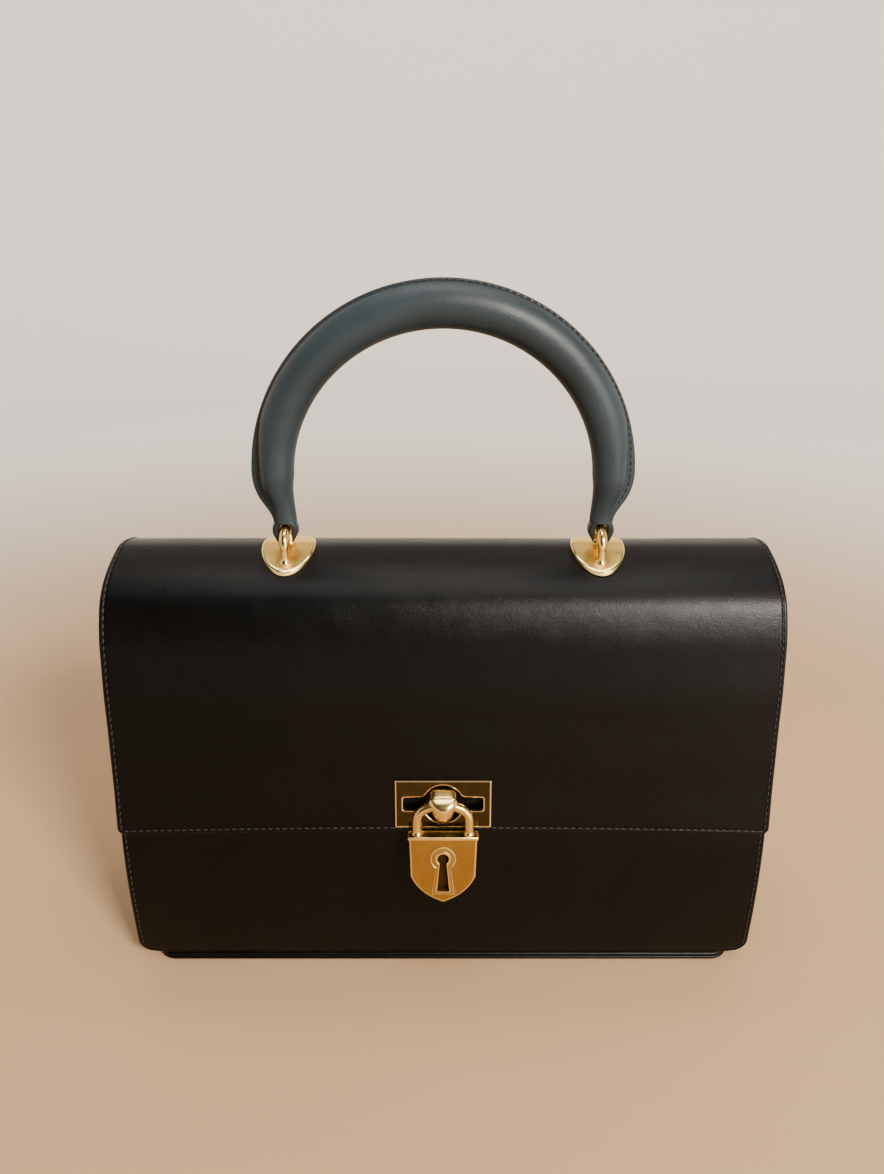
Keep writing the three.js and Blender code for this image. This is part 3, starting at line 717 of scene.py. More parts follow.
@dataclass
class BagBody:
    """The leather body: flap sheet, front panel, gusset strip and base, in millimetres.

    Attributes:
        flap_width: Width of the sheet that is flap, top and back.
        panel_width: Width of the front panel and over the gusset.
        flap_edge: Height of the flap's edge at its ends.
        edge_arc: How much higher the flap's edge is at its middle.
        base_top: Height of the panels' feet.
        front_top: Height of the front panel's top.
        gusset_top: Height of the gusset's ends.
        sheet: Thickness of the sheet.
        panel: Thickness of the front panel.
        gusset: Thickness of the gusset.
        gap: Space between the form line and the sheet.
        flap_corner: Radius of the flap's corners.
        corner: Radius of the feet's corners.
        seam_inset: Distance of the seams from the edges.
        thread_sink: How deep the thread lies in the face.
        sag: Unevenness of the sheets.
        press: How far the gusset's lips are pressed against its neighbours.
        lip: Width of the gusset's lips.
        lip_bend: Radius of the bend behind a lip.
        dip: Depth of the hollow between the lips.
        base_half: Half the base's length.
        base_front: Place of the base's front.
        base_rear: Place of the base's rear.
        base_corner: Radius of the base's corners.
    """

    flap_width: float = 290.0
    panel_width: float = 289.0
    flap_edge: float = 75.0
    edge_arc: float = 1.9
    base_top: float = 4.6
    front_top: float = 172.0
    gusset_top: float = 178.0
    sheet: float = 2.4
    panel: float = 2.2
    gusset: float = 1.8
    gap: float = 0.3
    flap_corner: float = 4.0
    corner: float = 9.0
    seam_inset: float = 2.2
    thread_sink: float = 0.16
    sag: float = 0.35
    press: float = 0.06
    lip: float = 4.0
    lip_bend: float = 2.4
    dip: float = 1.6
    base_half: float = 138.0
    base_front: float = -48.3
    base_rear: float = 45.0
    base_corner: float = 10.0

    def rounding(self, x: Array, half: float, radius: float) -> Array:
        """How far a rounded corner draws the end in at x: radius minus its circle's height."""
        over = np.clip(np.abs(x) - (half - radius), 0, radius)
        return radius - np.sqrt(np.maximum(radius**2 - over**2, 0))

    def wave(self, x: Array, run: Array, inset: Array) -> Array:
        """Slight unevenness of a stiff sheet: two long sines, none near the edges."""
        swing = np.sin(x / 41 + run / 67) + 0.7 * np.sin(x / 23 - run / 38 + 1.3)
        return self.sag * 0.3 * swing * ease(inset, 6, 40)

    def flap_grid(self) -> tuple[Array, Array, Array]:
        """Middle surface of the sheet that is flap, top and back.

        Rows run along the form line from the flap's edge to the foot of the back, columns across.

        Returns:
            Points, outward directions, and distances from the edge.
        """
        centre = self.gap + self.sheet / 2
        half = self.flap_width / 2
        x = graded(self.flap_width, EDGE_STEPS, 5.0) - half
        arc = self.edge_arc * (1 - (x / half) ** 2)
        low = self.flap_edge - 0.3 + arc + self.rounding(x, half, self.flap_corner)
        start = FORM.run_at(centre, low)
        foot = self.base_top + self.rounding(x, half, self.corner)
        end = FORM.run_at(centre, foot, rear=True)
        length = (end - start).mean()
        rows = graded(length, EDGE_STEPS, 2.6)
        from_low = rows[:, None]
        share = from_low / length
        run = start + from_low + share * ((end - start) - length)
        y, z, out_y, out_z = FORM.at_run(centre, run)
        side = half - np.abs(x)
        ends = np.minimum(from_low, length - from_low)
        inset = np.minimum(np.broadcast_to(side, run.shape), np.broadcast_to(ends, run.shape))
        lift = self.wave(x, run, inset)
        spread = np.broadcast_to(x, run.shape)
        points = np.stack([spread, y + out_y * lift, z + out_z * lift], -1)
        return points, np.stack([np.zeros_like(y), out_y, out_z], -1), inset

    def make_flap(self, lock: "Lock", leather: bpy.types.Material) -> None:
        """Build the sheet that is back, top and flap, with the window for the lock cut through."""
        shell = Shell()
        middle, out, inset = self.flap_grid()
        sheet_shell(shell, middle, out, inset, self.sheet)
        piece = shell.build("flap_and_back", crease=60)
        cut(piece, lock.window_cutter(), crease=60)
        settle(piece, Body.BAG, Slot.BLACK_LEATHER, leather, "back_flap")

    def panel_grid(self) -> tuple[Array, Array, Array]:
        """Middle surface of the front panel: rows up the front, columns across."""
        centre = -self.panel / 2
        half = self.panel_width / 2
        x = graded(self.panel_width, EDGE_STEPS, 6.0) - half
        low = self.base_top + self.rounding(x, half, self.corner)
        start = FORM.run_at(centre, low)
        end = FORM.run_at(centre, np.full_like(x, self.front_top))
        length = (end - start).mean()
        rows = graded(length, EDGE_STEPS, 3.0)[:, None]
        run = start + rows + rows / length * ((end - start) - length)
        y, z, out_y, out_z = FORM.at_run(centre, run)
        side = np.broadcast_to(half - np.abs(x), run.shape)
        inset = np.minimum(side, np.broadcast_to(np.minimum(rows, length - rows), run.shape))
        lift = self.wave(x + 60, run, inset) * 0.6 - np.abs(self.wave(x, run, inset)) * 0.2
        spread = np.broadcast_to(x, run.shape)
        points = np.stack([spread, y + out_y * lift, z + out_z * lift], -1)
        return points, np.stack([np.zeros_like(y), out_y, out_z], -1), inset

    def make_front(self, leather: bpy.types.Material) -> None:
        """Build the front panel."""
        shell = Shell()
        middle, out, inset = self.panel_grid()
        sheet_shell(shell, middle, out, inset, self.panel)
        settle(shell.build("front_wall", crease=60), Body.BAG, Slot.BLACK_LEATHER, leather, "front_panel")

    def make_gusset(self, leather: bpy.types.Material) -> None:
        """Build the strip that is left side, bottom and right side.

        Its path is a U with round corners. Its section runs back from a lip under the front panel's
        edge, round a bend, across with a shallow dip, and out to a lip under the back's edge.
        """
        half = self.panel_width / 2
        radius = self.corner
        mid = self.gusset / 2
        straight = self.gusset_top - self.base_top - radius
        flat = 2 * (half - radius)
        bend = np.pi / 2 * radius
        whole = 2 * straight + 2 * bend + flat
        run = graded(whole, EDGE_STEPS[:6], 4.0)[:, None]
        turn = np.clip((run - straight) / bend, 0, 1) + np.clip((run - straight - bend - flat) / bend, 0, 1)
        angle = np.pi / 2 * turn
        out_x, out_z = -np.cos(angle), -np.sin(angle)
        across = np.clip(run - straight - bend, 0, flat)
        down = np.clip(run, 0, straight) - np.clip(run - straight - 2 * bend - flat, 0, straight)
        base_x = across - flat / 2
        base_z = self.gusset_top - down
        near = np.array([0.0, 0.12, 0.35, 0.7, 1.2, 1.7, 2.2])
        curl = np.linspace(0, np.pi / 2, 6)[1:]
        lip_back = np.concatenate([near, self.lip - self.lip_bend * (1 - np.sin(curl))])
        lip_in = np.concatenate([near * 0, self.lip_bend * (1 - np.cos(curl))])
        share = np.linspace(0, 1, 21)[1:-1]
        hollow = self.lip + self.dip * np.sin(np.pi * share) ** 0.8
        depth_out = radius - np.concatenate([lip_back, hollow, lip_back[::-1]])
        x = base_x + out_x * depth_out
        z = base_z + out_z * depth_out
        front = FORM.front_at(-self.panel - mid + self.press, z)
        rear = FORM.rear_at(self.gap - mid + self.press, z)
        inward = np.concatenate([lip_in, lip_in[-1] + 0 * share, lip_in[::-1]])
        place = np.concatenate([lip_in * 0, share, lip_in * 0 + 1])
        sign = np.concatenate([lip_in * 0 + 1, 1 - 2 * share, lip_in * 0 - 1])
        y = lerp(front, rear, place) + inward * sign
        grid = np.stack([x, y, z], -1)
        along = unit(np.gradient(grid, axis=0))
        over = unit(np.gradient(grid, axis=1))
        out = unit(np.cross(along, over))
        ends = np.minimum(run, whole - run)
        from_lip = np.concatenate([near, np.full(len(curl) * 2 + len(share), radius), near[::-1]])
        inset = np.minimum(np.broadcast_to(ends, x.shape), np.broadcast_to(from_lip, x.shape))
        shell = Shell()
        sheet_shell(shell, grid, out, inset, self.gusset, sink=0.0)
        settle(shell.build("gusset", crease=60), Body.BAG, Slot.BLACK_LEATHER, leather, "gusset_strip")

    def make_base(self, leather: bpy.types.Material) -> None:
        """Build the base: a rounded rectangle whose side has a fine groove, closed above and below.

        Each ring is the outline, a rectangle with round corners, drawn in by an inset at a height.
        """
        front, rear, radius = self.base_front, self.base_rear, self.base_corner
        sides = 160
        angle = (np.arange(sides) + 0.5) * 2 * np.pi / sides
        cx = np.sign(np.cos(angle)) * (self.base_half - radius)
        cy = np.where(np.sin(angle) > 0, rear - radius, front + radius)
        most = radius - 0.5
        profile = [
            (most, 0.0), (3.0, 0.0), (1.3, 0.05), (0.5, 0.35), (0.1, 0.9), (0.0, 1.5),
            (0.12, 1.85), (0.5, 2.05),
            (0.5, 2.25), (0.12, 2.45), (0.0, 2.8), (0.1, 3.5), (0.5, 4.0), (1.4, 4.28), (most, 4.3),
        ]
        inset, height = np.array(profile).T[:, :, None]
        x = cx + np.cos(angle) * (radius - inset)
        y = cy + np.sin(angle) * (radius - inset)
        rings = np.stack([x, y, np.broadcast_to(height, x.shape)], -1)
        shell = Shell()
        shell.add_grid(capped(rings), wrap=True)
        settle(shell.build("base", crease=60), Body.BAG, Slot.BLACK_LEATHER, leather, "base_panel")

    def make_stitches(self, thread: bpy.types.Material) -> None:
        """Sew the seams: one row all round the sheet, and one down each side of the front."""
        rows = Shell()
        sewn = ((self.flap_grid(), self.sheet, 4), (self.panel_grid(), self.panel, 2))
        for (middle, out, _), thickness, sides in sewn:
            for i, j in self.seam_lines(middle.shape[0], middle.shape[1])[:sides]:
                face = middle[i, j] + out[i, j] * (thickness / 2 - self.thread_sink)
                Stitches().along(rows, face, out[i, j])
        settle(rows.build("stitches", crease=180, merge=0.0005), Body.BAG, Slot.BLACK_LEATHER, thread)

    def seam_lines(self, rows: int, cols: int) -> list[tuple[Array, Array]]:
        """Row and column numbers of the grid's points that lie on the sewn line, for its four sides."""
        k = int(np.argmin(np.abs(EDGE_STEPS - self.seam_inset)))
        down = np.arange(k, rows - k)
        over = np.arange(k, cols - k)
        return [
            (down, np.full_like(down, k)),
            (down, np.full_like(down, cols - 1 - k)),
            (np.full_like(over, k), over),
            (np.full_like(over, rows - 1 - k), over),
        ]


# Metal


@dataclass
class LockFrame:
    """The lock's own frame: x across, out of the leather, and up along it, in millimetres."""

    y: float = -46.2027
    z: float = 90.6
    lean: float = math.radians(8.974392)

    def place(self, x: Array, out: Array, up: Array) -> Array:
        """Points in the bag's frame: out and up turned by the lean, then moved to the lock."""
        x, out, up = np.broadcast_arrays(x, out, up)
        y = self.y - out * math.cos(self.lean) + up * math.sin(self.lean)
        z = self.z + out * math.sin(self.lean) + up * math.cos(self.lean)
        return np.stack([x, y, z], -1)

    def outward(self) -> Array:
        """Direction out of the leather, in the bag's frame."""
        return self.place(0, 1, 0) - self.place(0, 0, 0)


def smooth_loop(knots: Array, count: int) -> Array:
    """A closed Catmull-Rom curve through the knots, at even steps of its own number."""
    spot = np.linspace(0, len(knots), count, endpoint=False)
    i = spot.astype(int)
    t = (spot - i)[:, None]
    a, b, c, d = (knots[(i + k) % len(knots)] for k in (-1, 0, 1, 2))
    bend = (2 * a - 5 * b + 4 * c - d) * t**2 + (3 * b - a - 3 * c + d) * t**3
    return b + 0.5 * ((c - a) * t + bend)


def resampled(path: Array, count: int) -> Array:
    """The same path at even running lengths."""
    run = np.concatenate([[0], np.cumsum(np.linalg.norm(np.diff(path, axis=0), axis=1))])
    places = np.linspace(0, run[-1], count)
    return np.stack([np.interp(places, run, path[:, k]) for k in range(3)], -1)


def wire(path: Array, radius: Array | float, flat: Array, sides: int = 24) -> Array:
    """Rings of a round wire along a path that lies in a plane with the normal flat.

    Args:
        path: Points of the centreline.
        radius: Radius at each point.
        flat: Normal of the path's plane.
        sides: Points round the wire.

    Returns:
        Rings with their middles at both ends.
    """
    along = unit(np.gradient(path, axis=0))
    side = unit(np.cross(along, flat))
    angle = np.linspace(0, 2 * np.pi, sides, endpoint=False)
    size = np.broadcast_to(radius, len(path))[:, None, None]
    turned = np.cos(angle)[:, None] * side[:, None] + np.sin(angle)[:, None] * np.asarray(flat)
    return capped(path[:, None] + size * turned)


@dataclass
class Lock:
    """Lock plate and knob, in millimetres.

    Attributes:
        frame: Where the lock stands on the flap.
        plate_half: Half the plate's width and height.
        plate_back: Height of the plate's back over the form line.
        plate_face: Height of its face.
        plate_bevel: Width of the bevel round its rim.
        window_half: Half the width and height of the slot in the plate.
        bulge: Radius of the slot's round middle.
        leather_margin: How much wider the hole in the leather is.
        knob_back: Height of the stem's back.
        stem_rise: Share of the shield's upper half that the stem has at the plate.
        stem_front: Height of the neck behind the head.
        head_front: Height of the top of the head's dome.
        shield: Right half of the knob's outline, across and up, from its top to its foot.
        eye_radius: Radius of the eye across the knob.
        eye_up: Height of the eye above the lock's middle.
        shackle_out: Height of the eye over the form line.
        hang: How much the padlock hangs above the lock's middle.
    """

    frame: LockFrame = field(default_factory=LockFrame)
    plate_half: tuple[float, float] = (21.15, 11.2)
    plate_back: float = 3.0
    plate_face: float = 4.5
    plate_bevel: float = 0.45
    window_half: tuple[float, float] = (17.65, 3.15)
    bulge: float = 8.8
    leather_margin: float = 0.5
    knob_back: float = 0.3
    stem_rise: float = 1.42
    stem_front: float = 10.2
    head_front: float = 13.2
    shield: tuple[tuple[float, float], ...] = (
        (0.0, 5.15), (3.2, 5.0), (5.3, 4.5), (6.15, 3.3), (6.1, 1.8), (5.6, 0.0),
        (4.85, -1.9), (3.8, -4.0), (2.5, -5.75), (1.2, -6.3), (0.0, -6.45),
    )
    eye_radius: float = 2.97
    eye_up: float = 0.6
    shackle_out: float = 8.1
    hang: float = 0.2246

    def window(self, angle: Array, margin: float) -> Array:
        """Radius of the window at an angle: a squarish superellipse, and a round bulge, run together.

        The two are joined by the root of the sum of their sixteenth powers, so that the bulge flares.
        """
        a, b = (h + margin for h in self.window_half)
        square, flare = 12, 16
        slot = (np.abs(np.cos(angle) / a) ** square + np.abs(np.sin(angle) / b) ** square) ** (-1 / square)
        slot = np.minimum(slot, np.hypot(a, b))
        return (slot**flare + (self.bulge + margin) ** flare) ** (1 / flare)

    def plate_rim(self, angle: Array, margin: float) -> Array:
        """Radius of the plate's rectangle at an angle, moved out by a margin."""
        a, b = (h + margin for h in self.plate_half)
        across, up = (np.maximum(np.abs(part), 1e-6) for part in (np.cos(angle), np.sin(angle)))
        return np.minimum(a / across, b / up)

    def angles(self, margins: tuple[float, ...] = (0.0,)) -> Array:
        """Angles round the lock: even ones, more of them at the window's ends, and the plate's corners."""
        even = np.linspace(0, 2 * np.pi, 240, endpoint=False)
        ends = np.linspace(-0.32, 0.32, 90)
        corners = [math.atan2(self.plate_half[1] + m, self.plate_half[0] + m) for m in margins]
        marks = [s * c + t for c in corners for s in (1, -1) for t in (0, np.pi)]
        return np.unique(np.round(np.concatenate([even, ends, ends + np.pi, marks]) % (2 * np.pi), 6))

    def window_cutter(self) -> bpy.types.Object:
        """A block in the shape of the window, a little wider than the plate's, through the leather."""
        angle = self.angles()
        radius = self.window(angle, self.leather_margin)
        x, up = radius * np.cos(angle), radius * np.sin(angle)
        shell = Shell()
        shell.add_grid(capped(np.stack([self.frame.place(x, out, up) for out in (-2.0, 4.2)])), wrap=True)
        return shell.build("window_cutter")

    def make_plate(self, brass: bpy.types.Material) -> None:
        """Build the plate: its section runs up the window's wall, over the face and down the rim."""
        bevel = self.plate_bevel
        angle = self.angles((0.0, -bevel, -0.12))
        face, back = self.plate_face, self.plate_back
        inner = [(0.0, back, 0.0), (0.0, face - 0.3, 1.0), (0.09, face - 0.09, 1.0), (0.3, face, 1.0)]
        inner += [(0.55, face, 0.3), (0.8, face, 0.0)]
        outer = [(-bevel - 0.3, face, 0.0), (-bevel, face, 1.0), (-0.12, face - 0.12, 1.0)]
        outer += [(0.0, face - bevel, 1.0), (0.0, back, 0.0)]
        loops = [(self.window(angle, m), out, shine) for m, out, shine in inner]
        rims = [(self.plate_rim(angle, m), out, shine) for m, out, shine in outer]
        between = [(lerp(loops[-1][0], rims[0][0], s), face, 0.0) for s in (0.25, 0.5, 0.75)]
        loops = loops + between + rims + loops[:1]
        grid = [self.frame.place(r * np.cos(angle), o, r * np.sin(angle)) for r, o, _ in loops]
        polish = np.array([[s] for _, _, s in loops])
        shell = Shell()
        shell.add_grid(np.stack(grid), wrap=True, polish=polish)
        settle(shell.build("lock_plate_dressed", crease=20), Body.BAG, Slot.BRASS, brass, "lock_plate")

    def make_knob(self, brass: bpy.types.Material) -> None:
        """Build the knob: a stem that narrows to a neck, and a head, both shaped like a shield.

        The stem's upper half falls towards the neck with the 1.5th power of the way along it. The head
        domes: its height falls with the square of the share of its outline.
        """
        front, back, rise = self.stem_front, self.knob_back, self.stem_rise
        outline = smooth_loop(np.array(self.shield + tuple((-x, z) for x, z in self.shield[-2:0:-1])), 96)
        # Height, and the shares of the shield's width, upper half and lower half
        stem = [(back, 0.0, 0.0, 0.0), (back, 0.9, 1.28, 0.78), (0.45, 0.94, 1.38, 0.82)]
        stem.append((0.9, 0.96, rise, 0.84))
        for s in np.linspace(0, 1, 7):
            stem.append((lerp(4.0, front - 1.3, s), lerp(0.96, 0.9, s), lerp(rise, 0.99, s**1.5), 0.84))
        stem += [(front - 1.1, 0.86, 0.92, 0.8), (front - 0.3, 0.84, 0.9, 0.8), (front - 0.3, 0.0, 0.0, 0.0)]
        rings = []
        for out, across, above, below in stem:
            up = outline[:, 1] * np.where(outline[:, 1] > 0, above, below)
            rings.append(self.frame.place(outline[:, 0] * across, out, up))
        # Share of the shield, height and polish
        rim = front - 0.35
        profile = [(0.0, front - 1.0, 0.0), (0.86, front - 0.95, 0.0), (0.95, front - 0.85, 1.0)]
        profile += [(1.0, front - 0.65, 1.0), (1.0, rim - 0.08, 1.0), (0.985, rim + 0.08, 1.0)]
        profile += [(s, lerp(self.head_front, rim, s**2), 0.85) for s in np.linspace(0.95, 0, 12)]
        head = [self.frame.place(outline[:, 0] * s, out, outline[:, 1] * s) for s, out, _ in profile]
        polish = np.array([[shine] for _, _, shine in profile])
        for name, surface, shine in (("knob_drum", rings, 0.55), ("knob_head", head, polish)):
            shell = Shell()
            shell.add_grid(np.stack(surface), wrap=True, polish=shine)
            piece = shell.build(name, crease=30)
            cut(piece, self.eye_cutter(), crease=30)
            settle(piece, Body.BAG, Slot.BRASS, brass, "turn_knob")

    def eye_cutter(self) -> bpy.types.Object:
        """A round bar across the knob, in the shape of its eye."""
        path = self.frame.place(np.linspace(-9, 9, 9), self.shackle_out, self.eye_up)
        shell = Shell()
        shell.add_grid(wire(path, self.eye_radius, self.frame.outward(), 40), wrap=True)
        return shell.build("eye_cutter")


@dataclass
class Padlock:
    """The padlock in its own frame: x across, out of its middle, up from its pivot, in millimetres.

    Attributes:
        lock: The lock that it hangs on.
        top: Height of the body's top.
        half_width: Half the body's width at its top.
        shoulder_half: Half its width where the point begins.
        shoulder_drop: How far below the top the point begins.
        height: Height of the body.
        half_thick: Half its thickness.
        hole_radius: Radius of the keyhole's round.
        hole_drop: How far below the top the round's middle is.
        foot_drop: How far below the top the keyhole's foot is.
        neck_half: Half the keyhole's width below the round.
        foot_half: Half its width at the foot.
        hole_depth: Depth of the keyhole.
        lip: Height of the bar along the top.
        wire_radius: Radius of the bow's wire.
        spread: Half the distance between the bow's legs.
        arch_top: Height of the bow's middle line at its top.
        arch_rise: Height of the bow's arch.
        steps: Points along a stretch of the outline.
    """

    lock: Lock
    top: float = -12.349
    half_width: float = 14.95
    shoulder_half: float = 14.3
    shoulder_drop: float = 19.0
    height: float = 31.5
    half_thick: float = 3.3
    hole_radius: float = 2.5
    hole_drop: float = 10.4
    foot_drop: float = 25.9
    neck_half: float = 1.5
    foot_half: float = 2.7
    hole_depth: float = 2.6
    lip: float = 1.5
    wire_radius: float = 2.1
    spread: float = 11.45
    arch_top: float = 0.751
    arch_rise: float = 8.1
    steps: int = 14

    def place(self, x: Array, out: Array, up: Array) -> Array:
        """Points in the bag's frame."""
        return self.lock.frame.place(x, np.add(out, self.lock.shackle_out), np.add(up, self.lock.hang))

    def mirrored(self, half: Array) -> Array:
        """A closed outline from its right half, which runs from the top middle to the foot's middle."""
        return np.concatenate([half, (half * [-1, 1])[-2:0:-1]])

    def shield(self, inset: float) -> Array:
        """Outline of the body drawn in by an inset: straight top and sides, and a curved point."""
        n = self.steps
        t = np.linspace(0, 1, n)[:, None]
        corner = np.array([self.half_width - inset, self.top - inset])
        shoulder = np.array([self.shoulder_half - inset, self.top - self.shoulder_drop])
        tip = np.array([0.0, self.top - self.height + inset])
        bend = np.array([shoulder[0] * 0.74, lerp(shoulder[1], tip[1], 0.7)])
        top = lerp(np.array([0.0, corner[1]]), corner, t)
        side = lerp(corner, shoulder, t)
        u = np.linspace(0, 1, 2 * n)[:, None]
        point = (1 - u) ** 2 * shoulder + 2 * u * (1 - u) * bend + u**2 * tip
        return self.mirrored(np.concatenate([top[:-1], side[:-1], point]))

    def keyhole(self, margin: float) -> Array:
        """Outline of the keyhole moved out by a margin: a round, and a foot that flares below it."""
        n = self.steps
        radius = self.hole_radius + margin
        centre = self.top - self.hole_drop
        neck = math.asin((self.neck_half + 0.6 * margin) / radius)
        turn = np.linspace(0, np.pi - neck, 2 * n - 1)
        bow = np.stack([radius * np.sin(turn), centre + radius * np.cos(turn)], -1)
        foot = np.array([self.foot_half + 0.8 * margin, self.top - self.foot_drop - 0.5 * margin])
        down = lerp(bow[-1], foot, np.linspace(0, 1, 2 * n - 6)[1:, None])
        floor = lerp(foot, np.array([0.0, foot[1]]), np.linspace(0, 1, 7)[1:, None])
        return self.mirrored(np.concatenate([bow, down, floor]))

    def make_body(self, brass: bpy.types.Material) -> None:
        """Build the body: one surface from the floor of the keyhole over its rim to the back."""
        front = self.half_thick
        # Margin round the keyhole, height over the face, polish, and hollow: painted shade, darkest on the
        # keyhole's floor
        rim = [(0.0, -self.hole_depth, 0.0, 0.9), (0.0, 0.3, 0.4, 0.5), (0.07, 0.52, 1, 0), (0.25, 0.6, 1, 0)]
        rim += [(0.85, 0.6, 0.8, 0), (1.1, 0.38, 0.2, 0.15), (2.5, 0.3, 0.1, 0), (2.8, 0.45, 1, 0)]
        rim += [(3.05, 0.4, 1, 0), (3.25, 0.0, 0.1, 0.3)]
        loops = [(self.keyhole(m), front + out, shine, dark) for m, out, shine, dark in rim]
        face = (self.shield(1.0), front, 0.0, 0.0)
        loops += [(lerp(loops[-1][0], face[0], s), front, 0.0, 0.0) for s in (0.08, 0.3, 0.6, 0.85)]
        loops += [face, (self.shield(0.6), front, 0.8, 0), (self.shield(0.2), front - 0.14, 1, 0)]
        loops += [(self.shield(0.0), front - 0.5, 1, 0), (self.shield(0.0), 0.5 - front, 0.6, 0)]
        loops += [(self.shield(0.2), 0.14 - front, 1, 0), (self.shield(0.6), -front, 0.8, 0)]
        start = np.broadcast_to([0.0, self.top - self.hole_drop], loops[0][0].shape)
        loops = [(start, loops[0][1], 0.0, 0.9)] + loops
        back = self.shield(0.6)
        loops += [(back * 0.5 + start * 0.5, -front, 0.0, 0.0), (start, -front, 0.0, 0.0)]
        grid = np.stack([self.place(p[:, 0], out, p[:, 1]) for p, out, _, _ in loops])
        polish = np.array([[s] for _, _, s, _ in loops], float)
        # Painted shade in the keyhole and its grooves, which the brass reads as hollow.
        hollow = np.array([[d] for _, _, _, d in loops], float)
        shell = Shell()
        shell.add_grid(grid, wrap=True, polish=polish, hollow=hollow)
        settle(shell.build("padlock_case", crease=24), Body.PADLOCK, Slot.BRASS, brass, "padlock_body")

    def make_lip(self, brass: bpy.types.Material) -> None:
        """Build the bar along the top: a rounded rectangle carried across, drawn in at its ends."""
        angle = np.linspace(0, 2 * np.pi, 48, endpoint=False)
        end = np.array([0.0, 0.06, 0.2, 0.5])
        draw = 0.5 - np.sqrt(0.25 - (0.5 - end) ** 2)
        half = self.half_width + 0.5
        x = np.concatenate([end - half, [0.0], (half - end)[::-1]])
        inset = np.concatenate([draw, [0.0], draw[::-1]])[:, None]
        low, high = -self.half_thick, self.half_thick + 0.5
        out = (low + high) / 2 + ((high - low) / 2 - inset) * power(np.cos(angle), 0.22)
        up = self.top - self.lip / 2 + (self.lip / 2 + 0.1 - inset) * power(np.sin(angle), 0.4)
        shell = Shell()
        shell.add_grid(capped(self.place(x[:, None], out, up)), wrap=True, polish=0.9)
        settle(shell.build("padlock_lip", crease=35), Body.PADLOCK, Slot.BRASS, brass, "padlock_body")

    def make_shackle(self, brass: bpy.types.Material) -> None:
        """Build the bow: two legs and a superellipse arch, with a small collar at each foot."""
        angle = np.linspace(np.pi, 0, 400)
        x = self.spread * power(np.cos(angle), 0.8)
        up = self.arch_top - self.arch_rise * (1 - np.abs(np.sin(angle)) ** 0.8)
        foot = self.top - 4.5
        x = np.concatenate([[-self.spread], x, [self.spread]])
        up = np.concatenate([[foot], up, [foot]])
        flat = np.stack([x, np.zeros_like(x), up], -1)
        even = resampled(flat, 110)
        path = self.place(even[:, 0], 0.0, even[:, 2])
        above = even[:, 2] - self.top
        radius = self.wire_radius + 0.55 * np.exp(-(((above - 0.1) / 0.55) ** 2))
        shell = Shell()
        shell.add_grid(wire(path, radius, self.lock.frame.outward(), 28), wrap=True, polish=0.55)
        settle(shell.build("padlock_bow", crease=40), Body.PADLOCK, Slot.BRASS, brass, "padlock_shackle")


# Handle


